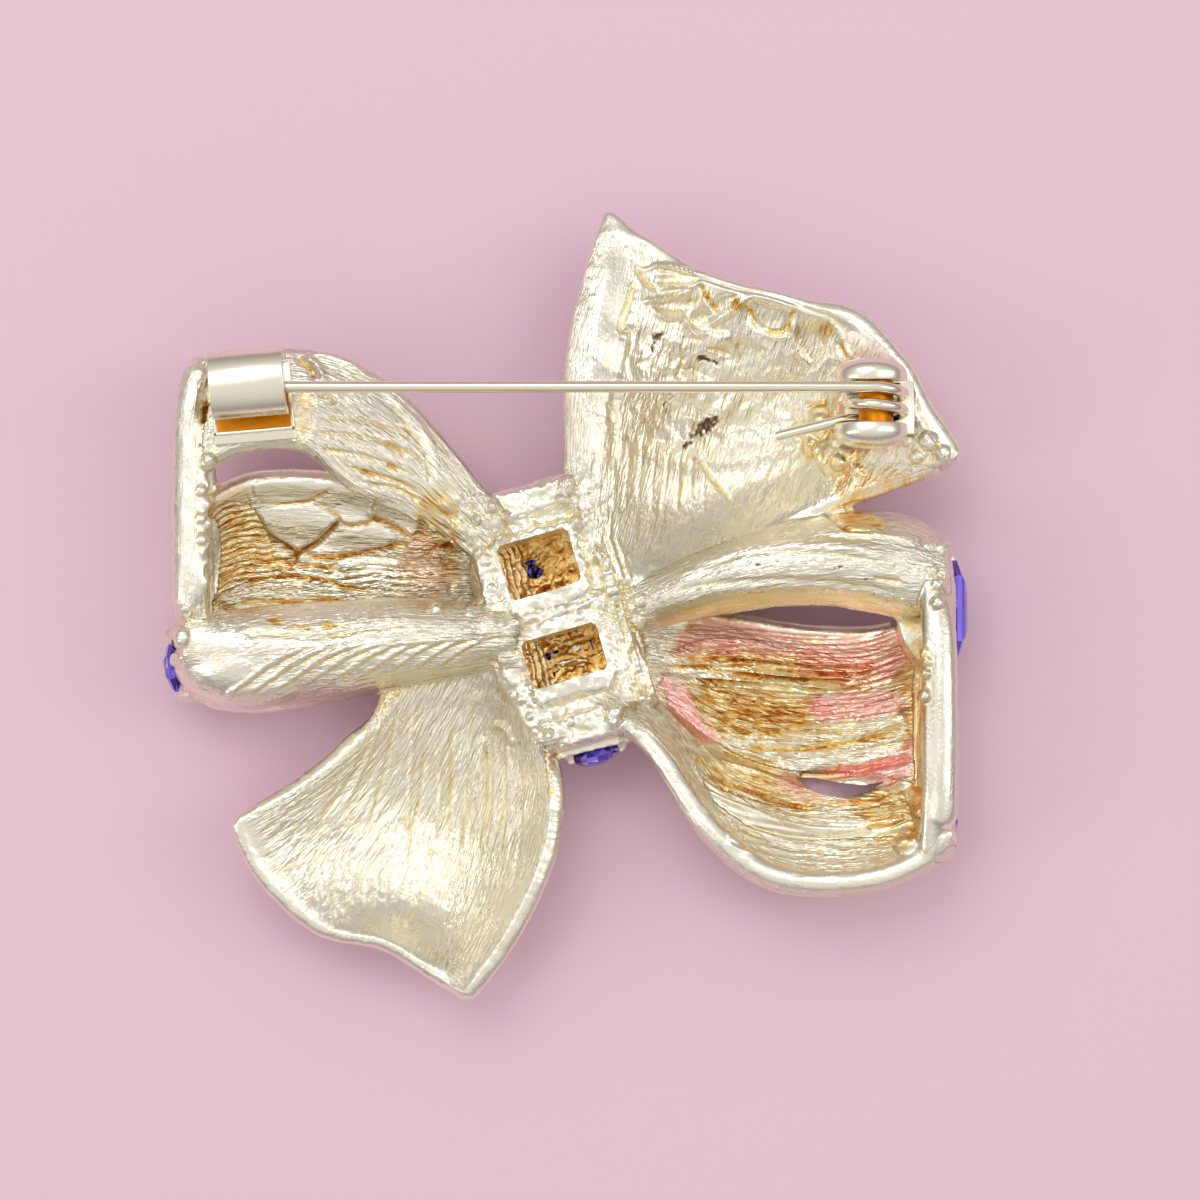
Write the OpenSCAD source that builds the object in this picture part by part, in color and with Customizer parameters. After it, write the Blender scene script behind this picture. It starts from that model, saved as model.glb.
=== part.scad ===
/* [Bow] */
// Length of the cast bow, from the end of one loop to the end of the other
bow_length = 48; // [40:0.5:60]
// Width of the cast bow, from the point of the upper tail to that of the lower
bow_width = 48; // [40:0.5:60]
// Depth of the cast bow, from its front to its back rims
bow_depth = 9; // [8:0.1:12]
// Thickness of the cast ribbon
wall = 1.2; // [0.9:0.05:1.5]
// How far a full fold stands off the ribbon
fold_height = 0.45; // [0.1:0.05:0.7]
// Radius of the cast beads
bead_radius = 0.42; // [0.3:0.02:0.6]

/* [Knot] */
// Width of the knot, along the bow
knot_width = 9.4; // [8:0.1:11]
// Height of the knot, across the bow
knot_height = 16.4; // [15:0.1:19]
// Turn of the knot and its two square stones against the bow
knot_turn = 16; // [0:1:25]
// Radius of the knot's rounded edges
knot_rounding = 1.1; // [0.6:0.1:1.5]
// Distance between the centres of the two square stones
knot_stone_pitch = 5.85; // [5.6:0.05:7]
// Height of the raised frame round each square opening
frame_height = 0.45; // [0.2:0.05:0.8]
// Width of that frame's sides
frame_width = 0.55; // [0.3:0.05:0.8]
// Height of the plates and of the bar between the frames
plate_height = 0.3; // [0.15:0.05:0.5]

/* [Stones] */
// Side of a square stone in the knot
knot_stone_side = 4.5; // [4:0.1:4.8]
// Length of the large stone at the end of the right loop
large_stone_length = 6; // [4:0.1:7]
// Width of the large stone
large_stone_width = 3.8; // [3:0.1:4.4]
// Side of the stone at the corner of the left loop
corner_stone_side = 3; // [2:0.1:3.6]
// Side of the small stone at the corner of the right loop
small_stone_side = 2; // [1.5:0.1:2.6]
// Side of the stone under the knot
edge_stone_side = 2.8; // [2:0.1:3.4]
// Clearance all round a stone in its seat
stone_gap = 0.06; // [0.03:0.01:0.12]
// Wall of metal round a stone's seat
seat_rim = 0.45; // [0.3:0.05:0.7]

/* [Pin] */
// Diameter of the pin wire
wire_diameter = 0.7; // [0.5:0.05:0.9]
// Radius from the hinge axis to the middle of the coiled wire
coil_radius = 1.65; // [1.4:0.05:2]
// Distance from one turn of the coil to the next
coil_pitch = 1.05; // [0.95:0.05:1.3]
// Length of the sharpened tip
tip_length = 4.2; // [2:0.1:5]
// Length of the short leg that the coil ends in
leg_length = 6.1; // [4:0.1:8]
// Turn of the short leg away from the stem, past the ears
leg_turn = 14; // [0:1:20]

/* [Hinge] */
// Radius of the rivet that the coil turns on
rivet_radius = 1.05; // [0.8:0.05:1.1]
// Clearance of the rivet in its two ears
rivet_gap = 0.02; // [0.01:0.01:0.05]
// Clearance between the coil and the ears beside it
coil_gap = 0.12; // [0.08:0.01:0.25]
// Radius of each round ear
ear_radius = 1.75; // [1.6:0.05:2.2]
// Thickness of an ear at its rim
ear_rim = 0.75; // [0.6:0.05:1]
// How far the middle of an ear is domed outwards
ear_dome = 0.45; // [0.2:0.05:0.7]
// Thickness of the hinge's base and of its back wall
hinge_sheet = 0.4; // [0.3:0.05:0.6]

/* [Catch] */
// Length of the catch's hood, along the pin
catch_length = 4.5; // [3.5:0.1:6]
// Inner radius of the hood
catch_radius = 1.3; // [1.1:0.05:1.6]
// Thickness of the catch's sheet metal
catch_sheet = 0.35; // [0.25:0.05:0.5]
// How far the base stands out before the mouth of the hood
catch_ledge = 1.4; // [0.8:0.1:2]
// Turn of the catch against the pin
catch_turn = 5; // [0:1:8]

/* [Hidden] */

smooth = 48;
bead_sides = 8;
tiny = 0.01;

// Places of the parts, as shares of the bow's length, width and depth
HINGE_AT = [0.395, 0.253];
CATCH_ACROSS = -0.392;
KNOT_AT = [-0.01, -0.006];
HINGE_SEAT = 0.79;
CATCH_SEAT = 0.955;
KNOT_BACK = 0.71;
KNOT_FRONT = 0.06;
SOLDER_DEPTH = 0.18;

wire_radius = wire_diameter / 2;
hinge_x = HINGE_AT[0] * bow_length;
hinge_y = HINGE_AT[1] * bow_width;
hinge_floor = HINGE_SEAT * bow_depth;
hinge_level = hinge_floor + hinge_sheet + coil_radius + wire_radius + coil_gap;
stem_level = hinge_level + coil_radius;
coil_turns = 1.5;
coil_steps = 36;
stem_inset = 0.6;
coil_half = coil_turns * coil_pitch / 2;
coil_start = ear_radius + stem_inset;
leg_start = ear_radius;
stem_y = hinge_y + coil_half;
ear_inside = coil_half + wire_radius + coil_gap;
catch_x = CATCH_ACROSS * bow_length;
catch_floor = CATCH_SEAT * bow_depth;
catch_lip = 0.22;
lip_angle = 20;
hood_slack = 0.35;
hood_level = stem_level + wire_radius + hood_slack - catch_radius;
tip_inset = 0.7;
tip_x = catch_x - catch_length / 2 + tip_inset;
knot_x = KNOT_AT[0] * bow_length;
knot_y = KNOT_AT[1] * bow_width;
knot_back = KNOT_BACK * bow_depth;
knot_front = KNOT_FRONT * bow_depth;
opening_width = 0.93 * knot_stone_side;
opening_height = 0.8 * knot_stone_side;
knot_girdle = knot_front + 0.24 * knot_stone_side;
knot_ledge = knot_girdle + 0.13 * knot_stone_side;
solder_depth = SOLDER_DEPTH * bow_depth;

// Ribbon tables. Each row is one line across the ribbon, in percent of the bow's length, width and depth:
// the first edge (across, up, deep), the second edge (across, up, deep), and the crown,
// which is how far the middle of the line stands off the straight between its edges (across, up, deep).

// Left loop, front layer: from the knot to the end fold, first edge at the top
LEFT_FRONT = [
    [-6.5, 12.4, 56, -6.5, -6, 54, 0, 0, -16],
    [-18.2, 14.6, 47, -18.2, -8.2, 50, 0, 0, -36],
    [-28.6, 16.6, 45, -28.6, -10.6, 48, 0, 0, -40],
    [-38.9, 17, 45, -38.9, -12, 48, 0, 0, -40],
    [-45.4, 14.4, 46, -45.2, -11.4, 48, 0, 0, -34],
];

// Left loop, end fold: from the top corner to the lower corner, first edge at the front
LEFT_END = [
    [-44.4, 30, 68, -44, 30.3, 88, -2.2, 0.6, 0],
    [-45.3, 24.4, 62, -45.4, 24.6, 92, -3, 0, 0],
    [-45.4, 16, 45, -45.6, 15.9, 93, -3, 0, 0],
    [-45.4, 8.4, 22, -45.6, 8.3, 93, -3, 0, 0],
    [-45.4, 2, 13, -45.6, 2, 93, -3, 0, 0],
    [-45.3, -4.4, 18, -45.6, -4.3, 92, -3, 0, 0],
    [-44.8, -10.6, 46, -45, -10.4, 80, -3, -0.6, 0],
];

// Left loop, upper arm: from the end fold to the knot, first edge outside
LEFT_UPPER = [
    [-47.4, 29.2, 82, -45.2, 17.4, 92, 0, 0, 4],
    [-41, 31.6, 80, -41.2, 19.8, 91, 0, 0, 6],
    [-31.8, 31.6, 76, -33.1, 20.3, 88, 0, 0, 8],
    [-23.4, 28.7, 74, -26.6, 15.4, 78, 0, 0, 8],
    [-16.8, 22.4, 72, -19.8, 7.9, 64, 0, 0, 8],
    [-8.2, 11.6, 68, -8, 0, 62, 0, 0, 6],
];

// Left loop, lower arm: from the end fold to the knot, first edge inside
LEFT_LOWER = [
    [-47.4, -2.4, 82, -47.6, -10, 54, 0, 0, 14],
    [-39.4, -1, 66, -39.4, -11, 50, 0, 0, 30],
    [-29.3, -0.2, 62, -29.3, -10.2, 50, 0, 0, 34],
    [-20.5, 0.2, 60, -20.5, -8.4, 50, 0, 0, 34],
    [-6.6, -0.8, 60, -6.4, -6, 54, 0, 0, 20],
];

// Right loop, front layer: from the knot to the end fold, first edge at the top
RIGHT_FRONT = [
    [6.8, -3, 52, 5.6, -14, 50, 0, 0, -14],
    [12.6, -3, 48, 12.2, -17, 44, 0, 0, -20],
    [20.3, -3.8, 44, 19.8, -24.4, 30, 0, 0, -24],
    [29.4, -4.6, 42, 28.9, -28, 24, 0, 0, -26.5],
    [38.4, -4.4, 42, 38.4, -28, 24, 0, 0, -26.5],
    [45.6, -4.4, 44, 45.6, -27.6, 30, 0, 0, -24],
];

// Right loop, lower side: from the knot to the lower corner, first edge inside
RIGHT_LOWER = [
    [6.6, -9, 56, 5.4, -13.6, 66, 0, 0, 0],
    [12.6, -12.6, 42, 11.6, -17.8, 74, 0, -0.6, -4],
    [20.4, -18.6, 22, 18.6, -27.4, 80, -0.8, -3.4, -12],
    [29.2, -21.4, 13, 26.8, -33.4, 84, -0.8, -4.8, -15],
    [38.2, -21.6, 13, 37.6, -34, 88, 0, -4.8, -15],
    [44.8, -23, 20, 45.4, -31.2, 88, 1.2, -3.4, -14],
    [46.8, -25.4, 44, 48, -28, 88, 1.6, -2, -6],
];

// Right loop, end fold: from the top corner to the lower corner, first edge at the front
RIGHT_END = [
    [46, 7, 62, 45.6, 7.3, 86, 2.2, 0.5, 0],
    [46, 2, 50, 46.1, 2, 92, 2.8, 0, 0],
    [46, -5.6, 28, 46.1, -5.6, 94, 2.8, 0, 0],
    [46, -14.4, 14, 46, -14.4, 94, 2.8, 0, 0],
    [46, -23.2, 18, 46, -23.2, 94, 2.8, 0, 0],
    [46, -30, 44, 45.6, -30.4, 88, 2.8, -0.6, 0],
];

// Right loop, upper arm: from the knot to the end fold, first edge outside
RIGHT_UPPER = [
    [5.6, 1.4, 56, 6, -2.4, 56, 0, 0, 10],
    [10.4, 3, 56, 11.4, -1.4, 56, 0, 0, 18],
    [17.4, 6, 54, 18.1, 0.1, 58, 0, 0, 28],
    [26.3, 9.2, 54, 27.5, 1.4, 60, 0, 0, 35],
    [35.7, 11.2, 56, 36.4, 1.2, 62, 0, 0, 35],
    [43.3, 11, 58, 43.9, -0.2, 70, 0, 0, 28],
    [48, 8.2, 64, 48, 0.8, 78, 0, 0, 18],
];

// Upper tail: from its left edge to its right point, first edge at the end of the ribbon
UPPER_TAIL = [
    [5.6, 48.8, 52, 1.6, 13, 66, -2.6, 0, 10],
    [10.5, 46, 54, 3.4, 8.6, 70, -1.2, 0, 6],
    [19.3, 42, 56, 7.2, 3.6, 68, 0.4, 0, -30],
    [28.2, 39.4, 58, 16, 4.6, 60, 0, 0, -44],
    [36.4, 36, 60, 26.9, 9.8, 58, 0, 0, -36],
    [42.4, 30, 72, 35.7, 13.4, 64, 0, 0, -8],
    [46.2, 23.4, 80, 43.3, 15.9, 74, 0, 0, -4],
    [49, 18.6, 84, 47.6, 17.4, 82, 0, 0, 0],
];

// Lower tail: from its left edge to its right edge, first edge at the knot
LOWER_TAIL = [
    [-22.3, -10.6, 44, -40, -26.8, 66, 2.4, 0, 2],
    [-16.4, -7, 50, -37.2, -34.6, 58, 1, 0, -18],
    [-10.4, -6, 56, -29.6, -41.8, 52, 0, 0, -36],
    [-6.4, -8.4, 60, -20.4, -45.6, 50, 0, 0, -47],
    [-4.6, -12, 64, -15.2, -47.4, 52, 0.8, 0, -38],
    [-3, -15.2, 64, -13, -48.4, 58, 3.5, 1, -15],
    [-2, -17.4, 64, -12, -48.8, 62, 5, 1.5, 6],
];

// Fold tables. Each row is one raised fold that runs along the ribbon's lines: where it starts and where it
// ends across them (shares), how wide it is (share), and its height towards the back (share of fold_height)
LEFT_FRONT_FOLDS = [
    [0.3, 0.14, 0.07, 1],
    [0.5, 0.36, 0.07, 0.9],
    [0.64, 0.6, 0.06, 0.8],
    [0.76, 0.84, 0.06, 0.7],
];
RIGHT_FRONT_FOLDS = [
    [0.34, 0.2, 0.07, 0.8],
    [0.62, 0.62, 0.08, 0.8],
];
UPPER_TAIL_FOLDS = [
    [0.2, 0.16, 0.07, 0.8],
    [0.34, 0.4, 0.06, 0.8],
    [0.5, 0.52, 0.06, 0.8],
    [0.66, 0.6, 0.06, 0.6],
];
LOWER_TAIL_FOLDS = [
    [0.3, 0.34, 0.08, 0.5],
    [0.7, 0.62, 0.08, 0.5],
];

// Bead rows: first bead (across, up, deep), last bead (across, up, deep) in percent, and how many
BEAD_ROWS = [
    [-45, 20, 95, -45, 3, 96, 8],
    [47.2, 6.4, 88, 47.4, 0.4, 97, 3],
    [45.6, -6, 99, 45.6, -11, 99, 3],
];

// Slit between the right loop's front layer and its lower side: middle (across, up) and half its size in percent,
// and its turn (degrees)
SLIT = [34.6, -22.6, 5, 1.5, 6];

// Solder blobs: middle (across, up, deep) and radii (across, up, deep), in percent
BLOBS = [
    [35.6, 19.4, 60, 3.4, 2.6, 11],
    [33.4, 22.6, 50, 3, 2.4, 12],
    [45.6, 20, 77, 2.6, 2.4, 9],
];

// The knot's outline, its raised plates (middle, size, turn in degrees) and its beads, as shares of its size
KNOT_OUTLINE = [
    [-0.26, 0.5], [0.36, 0.5], [0.5, 0.16], [0.5, -0.24],
    [0.26, -0.5], [-0.3, -0.5], [-0.48, -0.2], [-0.46, 0.24],
];
PLATES = [
    [0.36, -0.2, 0.2, 0.4, 6],
    [-0.04, -0.44, 0.5, 0.1, 0],
    [0.02, 0.43, 0.5, 0.09, -2],
    [-0.36, 0.08, 0.12, 0.42, -3],
];
KNOT_BEADS = [
    [-0.27, -0.45], [0.17, -0.45], [0.4, 0.02], [0.4, 0.09], [0.38, 0.16],
    [0.32, 0.44], [-0.2, 0.44], [-0.37, 0.29], [0.4, -0.4], [0.3, 0.3],
];

// Stones in the loops and under the knot: middle of the girdle (across, up, deep, in percent),
// heading in plan and tilt out from the front (degrees)
LARGE_AT = [49.8, 0, 46, 0, 78];
SMALL_AT = [49.4, -27.6, 44, -12, 78];
CORNER_AT = [-49.4, -7.4, 46, 188, 78];
EDGE_AT = [4.3, -18.4, 40, -74, 78];

// Cut of every stone: each ring's size (share of the girdle) and height from the girdle (share of the stone's side)
CUT = [
    [0.6, -0.2],
    [1, -0.04],
    [1, 0.04],
    [0.14, 0.44],
];
CORNER_CUT = 0.26;
FRAME_CORNER = 0.1;
SEAT_FRONT = 0.03;
SEAT_BACK = 0.56;

// Shares: the knot's bar (thickness of the plates' height, length of the knot's width), the width of an ear's
// foot, the tip's end, and the coil's wire, a little thicker than the stem that it runs into
BAR_THICKNESS = 1.3;
BAR_LENGTH = 0.7;
EAR_FOOT = 0.75;
TIP_END = 0.25;
COIL_WIRE = 1.02;

function place(p) = [p[0] * bow_length, p[1] * bow_width, p[2] * bow_depth] / 100;
function mix(a, b, t) = a + (b - a) * t;
function unit(v) = v / norm(v);

// A smooth curve through the rows of a table
function between(a, b, c, d, t) =
    0.5 * (2 * b + (c - a) * t + (2 * a - 5 * b + 4 * c - d) * t * t
        + (3 * b - a - 3 * c + d) * t * t * t);
function row_at(table, s) =
    let (last = len(table) - 1, f = s * last, i = min(floor(f), last - 1))
    between(table[max(i - 1, 0)], table[i], table[i + 1], table[min(i + 2, last)], f - i);

// A point on one line of the ribbon. Its line goes from a parabola (fullness 0) to a half ellipse (fullness 1)
function on_line(row, v, fullness) =
    let (first = [row[0], row[1], row[2]],
        second = [row[3], row[4], row[5]],
        crown = [row[6], row[7], row[8]],
        along = mix(v, (1 - cos(180 * v)) / 2, fullness),
        height = mix(4 * v * (1 - v), sin(180 * v), fullness))
    place(mix(first, second, along) + crown * height);

function folds_at(folds, s, v) =
    len(folds) == 0 ? 0 :
    [for (f = folds) f[3] * exp(-pow((v - mix(f[0], f[1], s)) / f[2], 2))]
    * [for (f = folds) fold_height * sin(180 * s)];

function ribbon_grid(table, lines, points, fullness) =
    [for (i = [0:lines]) let (row = row_at(table, i / lines))
        [for (j = [0:points]) on_line(row, j / points, fullness)]];

function facing(g, i, j) =
    let (last_i = len(g) - 1, last_j = len(g[0]) - 1)
    unit(cross(g[min(i + 1, last_i)][j] - g[max(i - 1, 0)][j],
        g[i][min(j + 1, last_j)] - g[i][max(j - 1, 0)]));

// One cast ribbon: the table's surface, thickened to the wall, with its folds raised and its rim rounded
module ribbon(table, lines, points, fullness = 0, folds = []) {
    g = ribbon_grid(table, lines, points, fullness);
    raised = [for (i = [0:lines]) [for (j = [0:points])
        g[i][j] + [0, 0, folds_at(folds, i / lines, j / points)]]];
    function skin(side) =
        [for (i = [0:lines]) for (j = [0:points]) raised[i][j] + side * facing(g, i, j) * wall / 2];
    loop = concat(
        [for (j = [0:points]) [0, j, 1, j]],
        [for (i = [1:lines]) [i, points, i, points - 1]],
        [for (j = [points - 1:-1:0]) [lines, j, lines - 1, j]],
        [for (i = [lines - 1:-1:1]) [i, 0, i, 1]]);
    rim = [for (k = loop) raised[k[0]][k[1]]
        + unit(raised[k[0]][k[1]] - raised[k[2]][k[3]]) * wall / 3];
    n = (lines + 1) * (points + 1);
    m = len(loop);
    function at(i, j) = i * (points + 1) + j;
    function edge(k) = at(loop[k % m][0], loop[k % m][1]);
    function outer(k) = 2 * n + k % m;
    faces = concat(
        [for (i = [0:lines - 1]) for (j = [0:points - 1]) [at(i, j), at(i, j + 1), at(i + 1, j)]],
        [for (i = [0:lines - 1]) for (j = [0:points - 1])
            [at(i, j + 1), at(i + 1, j + 1), at(i + 1, j)]],
        [for (i = [0:lines - 1]) for (j = [0:points - 1])
            [n + at(i, j), n + at(i + 1, j), n + at(i, j + 1)]],
        [for (i = [0:lines - 1]) for (j = [0:points - 1])
            [n + at(i, j + 1), n + at(i + 1, j), n + at(i + 1, j + 1)]],
        [for (k = [0:m - 1]) [edge(k), outer(k), edge(k + 1)]],
        [for (k = [0:m - 1]) [edge(k + 1), outer(k), outer(k + 1)]],
        [for (k = [0:m - 1]) [outer(k), n + edge(k), outer(k + 1)]],
        [for (k = [0:m - 1]) [outer(k + 1), n + edge(k), n + edge(k + 1)]]);
    polyhedron(concat(skin(1), skin(-1), rim), faces);
}

module beads() {
    for (row = BEAD_ROWS)
        for (i = [0:row[6] - 1])
            translate(place(mix([row[0], row[1], row[2]], [row[3], row[4], row[5]], i / (row[6] - 1))))
                sphere(r = bead_radius, $fn = bead_sides);
}

module blobs() {
    for (b = BLOBS)
        translate(place([b[0], b[1], b[2]]))
            scale(place([b[3], b[4], b[5]]))
                sphere(r = 1, $fn = bead_sides + 2);
}

module slit() {
    translate(place([SLIT[0], SLIT[1], 0]))
        rotate([0, 0, SLIT[4]])
            scale([SLIT[2] * bow_length / 100, SLIT[3] * bow_width / 100, 1])
                cylinder(r = 1, h = bow_depth, $fn = 2 * bead_sides);
}

// The ribbons of both loops and both tails, fitted to the bow's three sizes
module ribbons() {
    resize([bow_length, bow_width, bow_depth])
        difference() {
            union() {
                ribbon(LEFT_FRONT, 16, 14, 0.4, LEFT_FRONT_FOLDS);
                ribbon(LEFT_END, 13, 7, 1);
                ribbon(LEFT_UPPER, 12, 7);
                ribbon(LEFT_LOWER, 12, 7, 0.6);
                ribbon(RIGHT_FRONT, 15, 10, 0.3, RIGHT_FRONT_FOLDS);
                ribbon(RIGHT_LOWER, 16, 7, 0.2);
                ribbon(RIGHT_END, 12, 7, 1);
                ribbon(RIGHT_UPPER, 14, 7, 0.6);
                ribbon(UPPER_TAIL, 18, 14, 0, UPPER_TAIL_FOLDS);
                ribbon(LOWER_TAIL, 15, 10, 0, LOWER_TAIL_FOLDS);
                beads();
                blobs();
            }
            slit();
        }
}

module at_knot(along = 0) {
    translate([knot_x, knot_y, 0])
        rotate([0, 0, knot_turn])
            translate([0, along, 0])
                children();
}

// The knot: a rounded body with two framed openings, a bar between them, plates and beads
module knot() {
    at_knot() {
        hull()
            for (p = KNOT_OUTLINE, z = [knot_front + knot_rounding, knot_back - knot_rounding])
                translate([p[0] * (knot_width - 2 * knot_rounding), p[1] * (knot_height - 2 * knot_rounding), z])
                    sphere(r = knot_rounding, $fn = bead_sides + 2);
        for (plate = PLATES)
            translate([plate[0] * knot_width, plate[1] * knot_height, knot_back])
                rotate([0, 0, plate[4]])
                    cube([plate[2] * knot_width, plate[3] * knot_height, 2 * plate_height], center = true);
        for (p = KNOT_BEADS)
            translate([p[0] * knot_width, p[1] * knot_height, knot_back + plate_height])
                sphere(r = bead_radius, $fn = bead_sides);
        translate([0, 0, knot_back])
            rotate([0, 90, 0])
                cylinder(r = BAR_THICKNESS * plate_height, h = BAR_LENGTH * knot_width, center = true,
                    $fn = bead_sides);
    }
    for (end = [-1, 1])
        at_knot(end * knot_stone_pitch / 2)
            translate([0, 0, knot_back - frame_height])
                linear_extrude(2 * frame_height)
                    polygon(cut_outline(opening_height + 2 * frame_width, opening_width + 2 * frame_width,
                        FRAME_CORNER));
}

// A square or oblong outline with its corners cut off
function cut_outline(length, width, corner = CORNER_CUT) =
    let (c = corner * min(length, width), x = width / 2, y = length / 2)
    [[x, y - c], [x - c, y], [c - x, y], [-x, y - c], [-x, c - y], [c - x, -y], [x - c, -y], [x, c - y]];

// One cut stone, its table towards -Z and its girdle at 0, grown all round by a clearance
module stone(length, width, grow = 0) {
    rings = [for (ring = CUT)
        [for (p = cut_outline(length * ring[0] + 2 * grow, width * ring[0] + 2 * grow))
            [p[0], p[1], ring[1] * min(length, width)]]];
    sides = len(rings[0]);
    last = len(rings) - 1;
    polyhedron(
        [for (ring = rings) each ring],
        concat(
            [[for (i = [0:sides - 1]) i]],
            [for (r = [0:last - 1]) for (i = [0:sides - 1])
                [r * sides + i, (r + 1) * sides + i, (r + 1) * sides + (i + 1) % sides, r * sides + (i + 1) % sides]],
            [[for (i = [sides - 1:-1:0]) last * sides + i]]));
}

module at_seat(seat) {
    translate(place([seat[0], seat[1], seat[2]]))
        rotate([0, 0, seat[3]])
            rotate([0, -seat[4], 0])
                children();
}

// The solid setting of a stone in a loop, before its seat is cut
module setting(length, width) {
    side = min(length, width);
    grow = 2 * (stone_gap + seat_rim);
    translate([0, 0, -SEAT_FRONT * side])
        linear_extrude((SEAT_FRONT + SEAT_BACK) * side)
            polygon(cut_outline(length + grow, width + grow));
}

// What is cut out of a setting: the stone's own form with its clearance, open to the front
module seat(length, width) {
    side = min(length, width);
    stone(length, width, stone_gap);
    translate([0, 0, -side])
        linear_extrude(side)
            polygon(cut_outline(length + 2 * stone_gap, width + 2 * stone_gap));
}

module knot_seats() {
    for (end = [-1, 1])
        at_knot(end * knot_stone_pitch / 2) {
            translate([0, 0, knot_girdle])
                seat(knot_stone_side, knot_stone_side);
            translate([-opening_width / 2, -opening_height / 2, knot_ledge])
                cube([opening_width, opening_height, bow_depth]);
        }
}

module settings() {
    at_seat(LARGE_AT) setting(large_stone_length, large_stone_width);
    at_seat(SMALL_AT) setting(small_stone_side, small_stone_side);
    at_seat(CORNER_AT) setting(corner_stone_side, corner_stone_side);
    at_seat(EDGE_AT) setting(edge_stone_side, edge_stone_side);
}

module seats() {
    at_seat(LARGE_AT) seat(large_stone_length, large_stone_width);
    at_seat(SMALL_AT) seat(small_stone_side, small_stone_side);
    at_seat(CORNER_AT) seat(corner_stone_side, corner_stone_side);
    at_seat(EDGE_AT) seat(edge_stone_side, edge_stone_side);
    knot_seats();
}

// Round ear of the hinge, its flat inner face at y 0 and its dome towards +Y, with a blind hole for the rivet
module ear() {
    dome_radius = (ear_radius * ear_radius + ear_dome * ear_dome) / (2 * ear_dome);
    difference() {
        union() {
            rotate([-90, 0, 0]) {
                cylinder(r = ear_radius, h = ear_rim, $fn = smooth);
                intersection() {
                    cylinder(r = ear_radius, h = ear_rim + ear_dome + tiny, $fn = smooth);
                    translate([0, 0, ear_rim + ear_dome - dome_radius])
                        sphere(r = dome_radius, $fn = smooth);
                }
            }
            translate([-EAR_FOOT * ear_radius, 0, hinge_floor - hinge_level])
                cube([2 * EAR_FOOT * ear_radius, ear_rim, hinge_level - hinge_floor]);
        }
        rotate([-90, 0, 0])
            translate([0, 0, -ear_rim])
                cylinder(r = rivet_radius + rivet_gap, h = 2 * ear_rim, $fn = smooth);
    }
}

// The hinge: base, two ears, the low wall behind the coil and the solder under the base
module hinge() {
    half = ear_inside + ear_rim;
    reach = coil_radius + wire_radius + coil_gap;
    translate([hinge_x, hinge_y, hinge_level]) {
        translate([0, ear_inside, 0]) ear();
        mirror([0, 1, 0]) translate([0, ear_inside, 0]) ear();
    }
    translate([hinge_x - ear_radius, hinge_y - half, hinge_floor])
        cube([ear_radius + reach + hinge_sheet, 2 * half, hinge_sheet]);
    translate([hinge_x + reach, hinge_y - ear_inside, hinge_floor])
        cube([hinge_sheet, 2 * ear_inside, coil_radius]);
    translate([hinge_x - ear_radius + hinge_sheet, hinge_y - half + hinge_sheet, hinge_floor - solder_depth])
        cube([2 * ear_radius - hinge_sheet, 2 * (half - hinge_sheet), solder_depth + tiny]);
}

// The catch: a hood rolled over the pin's tip, open to -Y, on a flat base with a thin lip and solder under it
module catch() {
    outer = catch_radius + catch_sheet;
    half = catch_length / 2 + catch_lip;
    base_y = -outer - catch_ledge;
    wing = catch_ledge + outer / 2;
    drop = hood_level - catch_floor;
    translate([catch_x, stem_y, 0]) rotate([0, 0, catch_turn]) {
        translate([-catch_length / 2, 0, hood_level])
            rotate([90, 0, 90]) {
                linear_extrude(catch_length)
                    hood_outline(180 + lip_angle);
                translate([catch_radius, -drop, 0])
                    cube([catch_sheet, drop + tiny, catch_length]);
            }
        translate([-half, base_y, catch_floor])
            cube([2 * half, 2 * outer + catch_ledge, catch_sheet]);
        translate([-half, base_y, catch_floor])
            cube([2 * half, catch_lip, catch_sheet + catch_lip]);
        for (x = [-half, half - catch_lip])
            translate([x, base_y, catch_floor])
                cube([catch_lip, wing, catch_sheet + catch_lip]);
        translate([catch_lip - half, base_y - catch_ledge / 3, catch_floor - solder_depth])
            cube([2 * (half - catch_lip), 2 * outer + catch_ledge, solder_depth + tiny]);
    }
}

// Cross-section of the hood: a round wall from its foot at +Y over the top to its lip
module hood_outline(arc) {
    reach = 3 * catch_radius;
    difference() {
        circle(r = catch_radius + catch_sheet, $fn = smooth);
        circle(r = catch_radius, $fn = smooth);
        polygon(concat([[0, 0]], [for (a = [arc:(360 - arc) / 4:360]) reach * [cos(a), sin(a)]]));
    }
}

module bow_casting() {
    color("khaki")
        difference() {
            union() {
                ribbons();
                knot();
                settings();
                hinge();
                catch();
            }
            seats();
        }
}

module hinge_rivet() {
    color("goldenrod")
        translate([hinge_x, hinge_y, hinge_level])
            rotate([-90, 0, 0])
                cylinder(r = rivet_radius, h = 2 * (ear_inside + ear_rim - rivet_gap), center = true, $fn = smooth);
}

// Middle line of the coil: in over the top, one and a half turns round the rivet, then out as the short leg
function coil_point(t) =
    let (turn = 90 - 360 * coil_turns * t)
    [coil_radius * cos(turn), coil_half - 2 * coil_half * t, coil_radius * sin(turn)];
coil_path = concat(
    [[-coil_start, coil_half, coil_radius]],
    [for (i = [0:coil_steps]) coil_point(i / coil_steps)],
    [for (s = [0, leg_length - leg_start])
        [-leg_start - cos(leg_turn) * s, -coil_half - sin(leg_turn) * s, -coil_radius]]);

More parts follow.
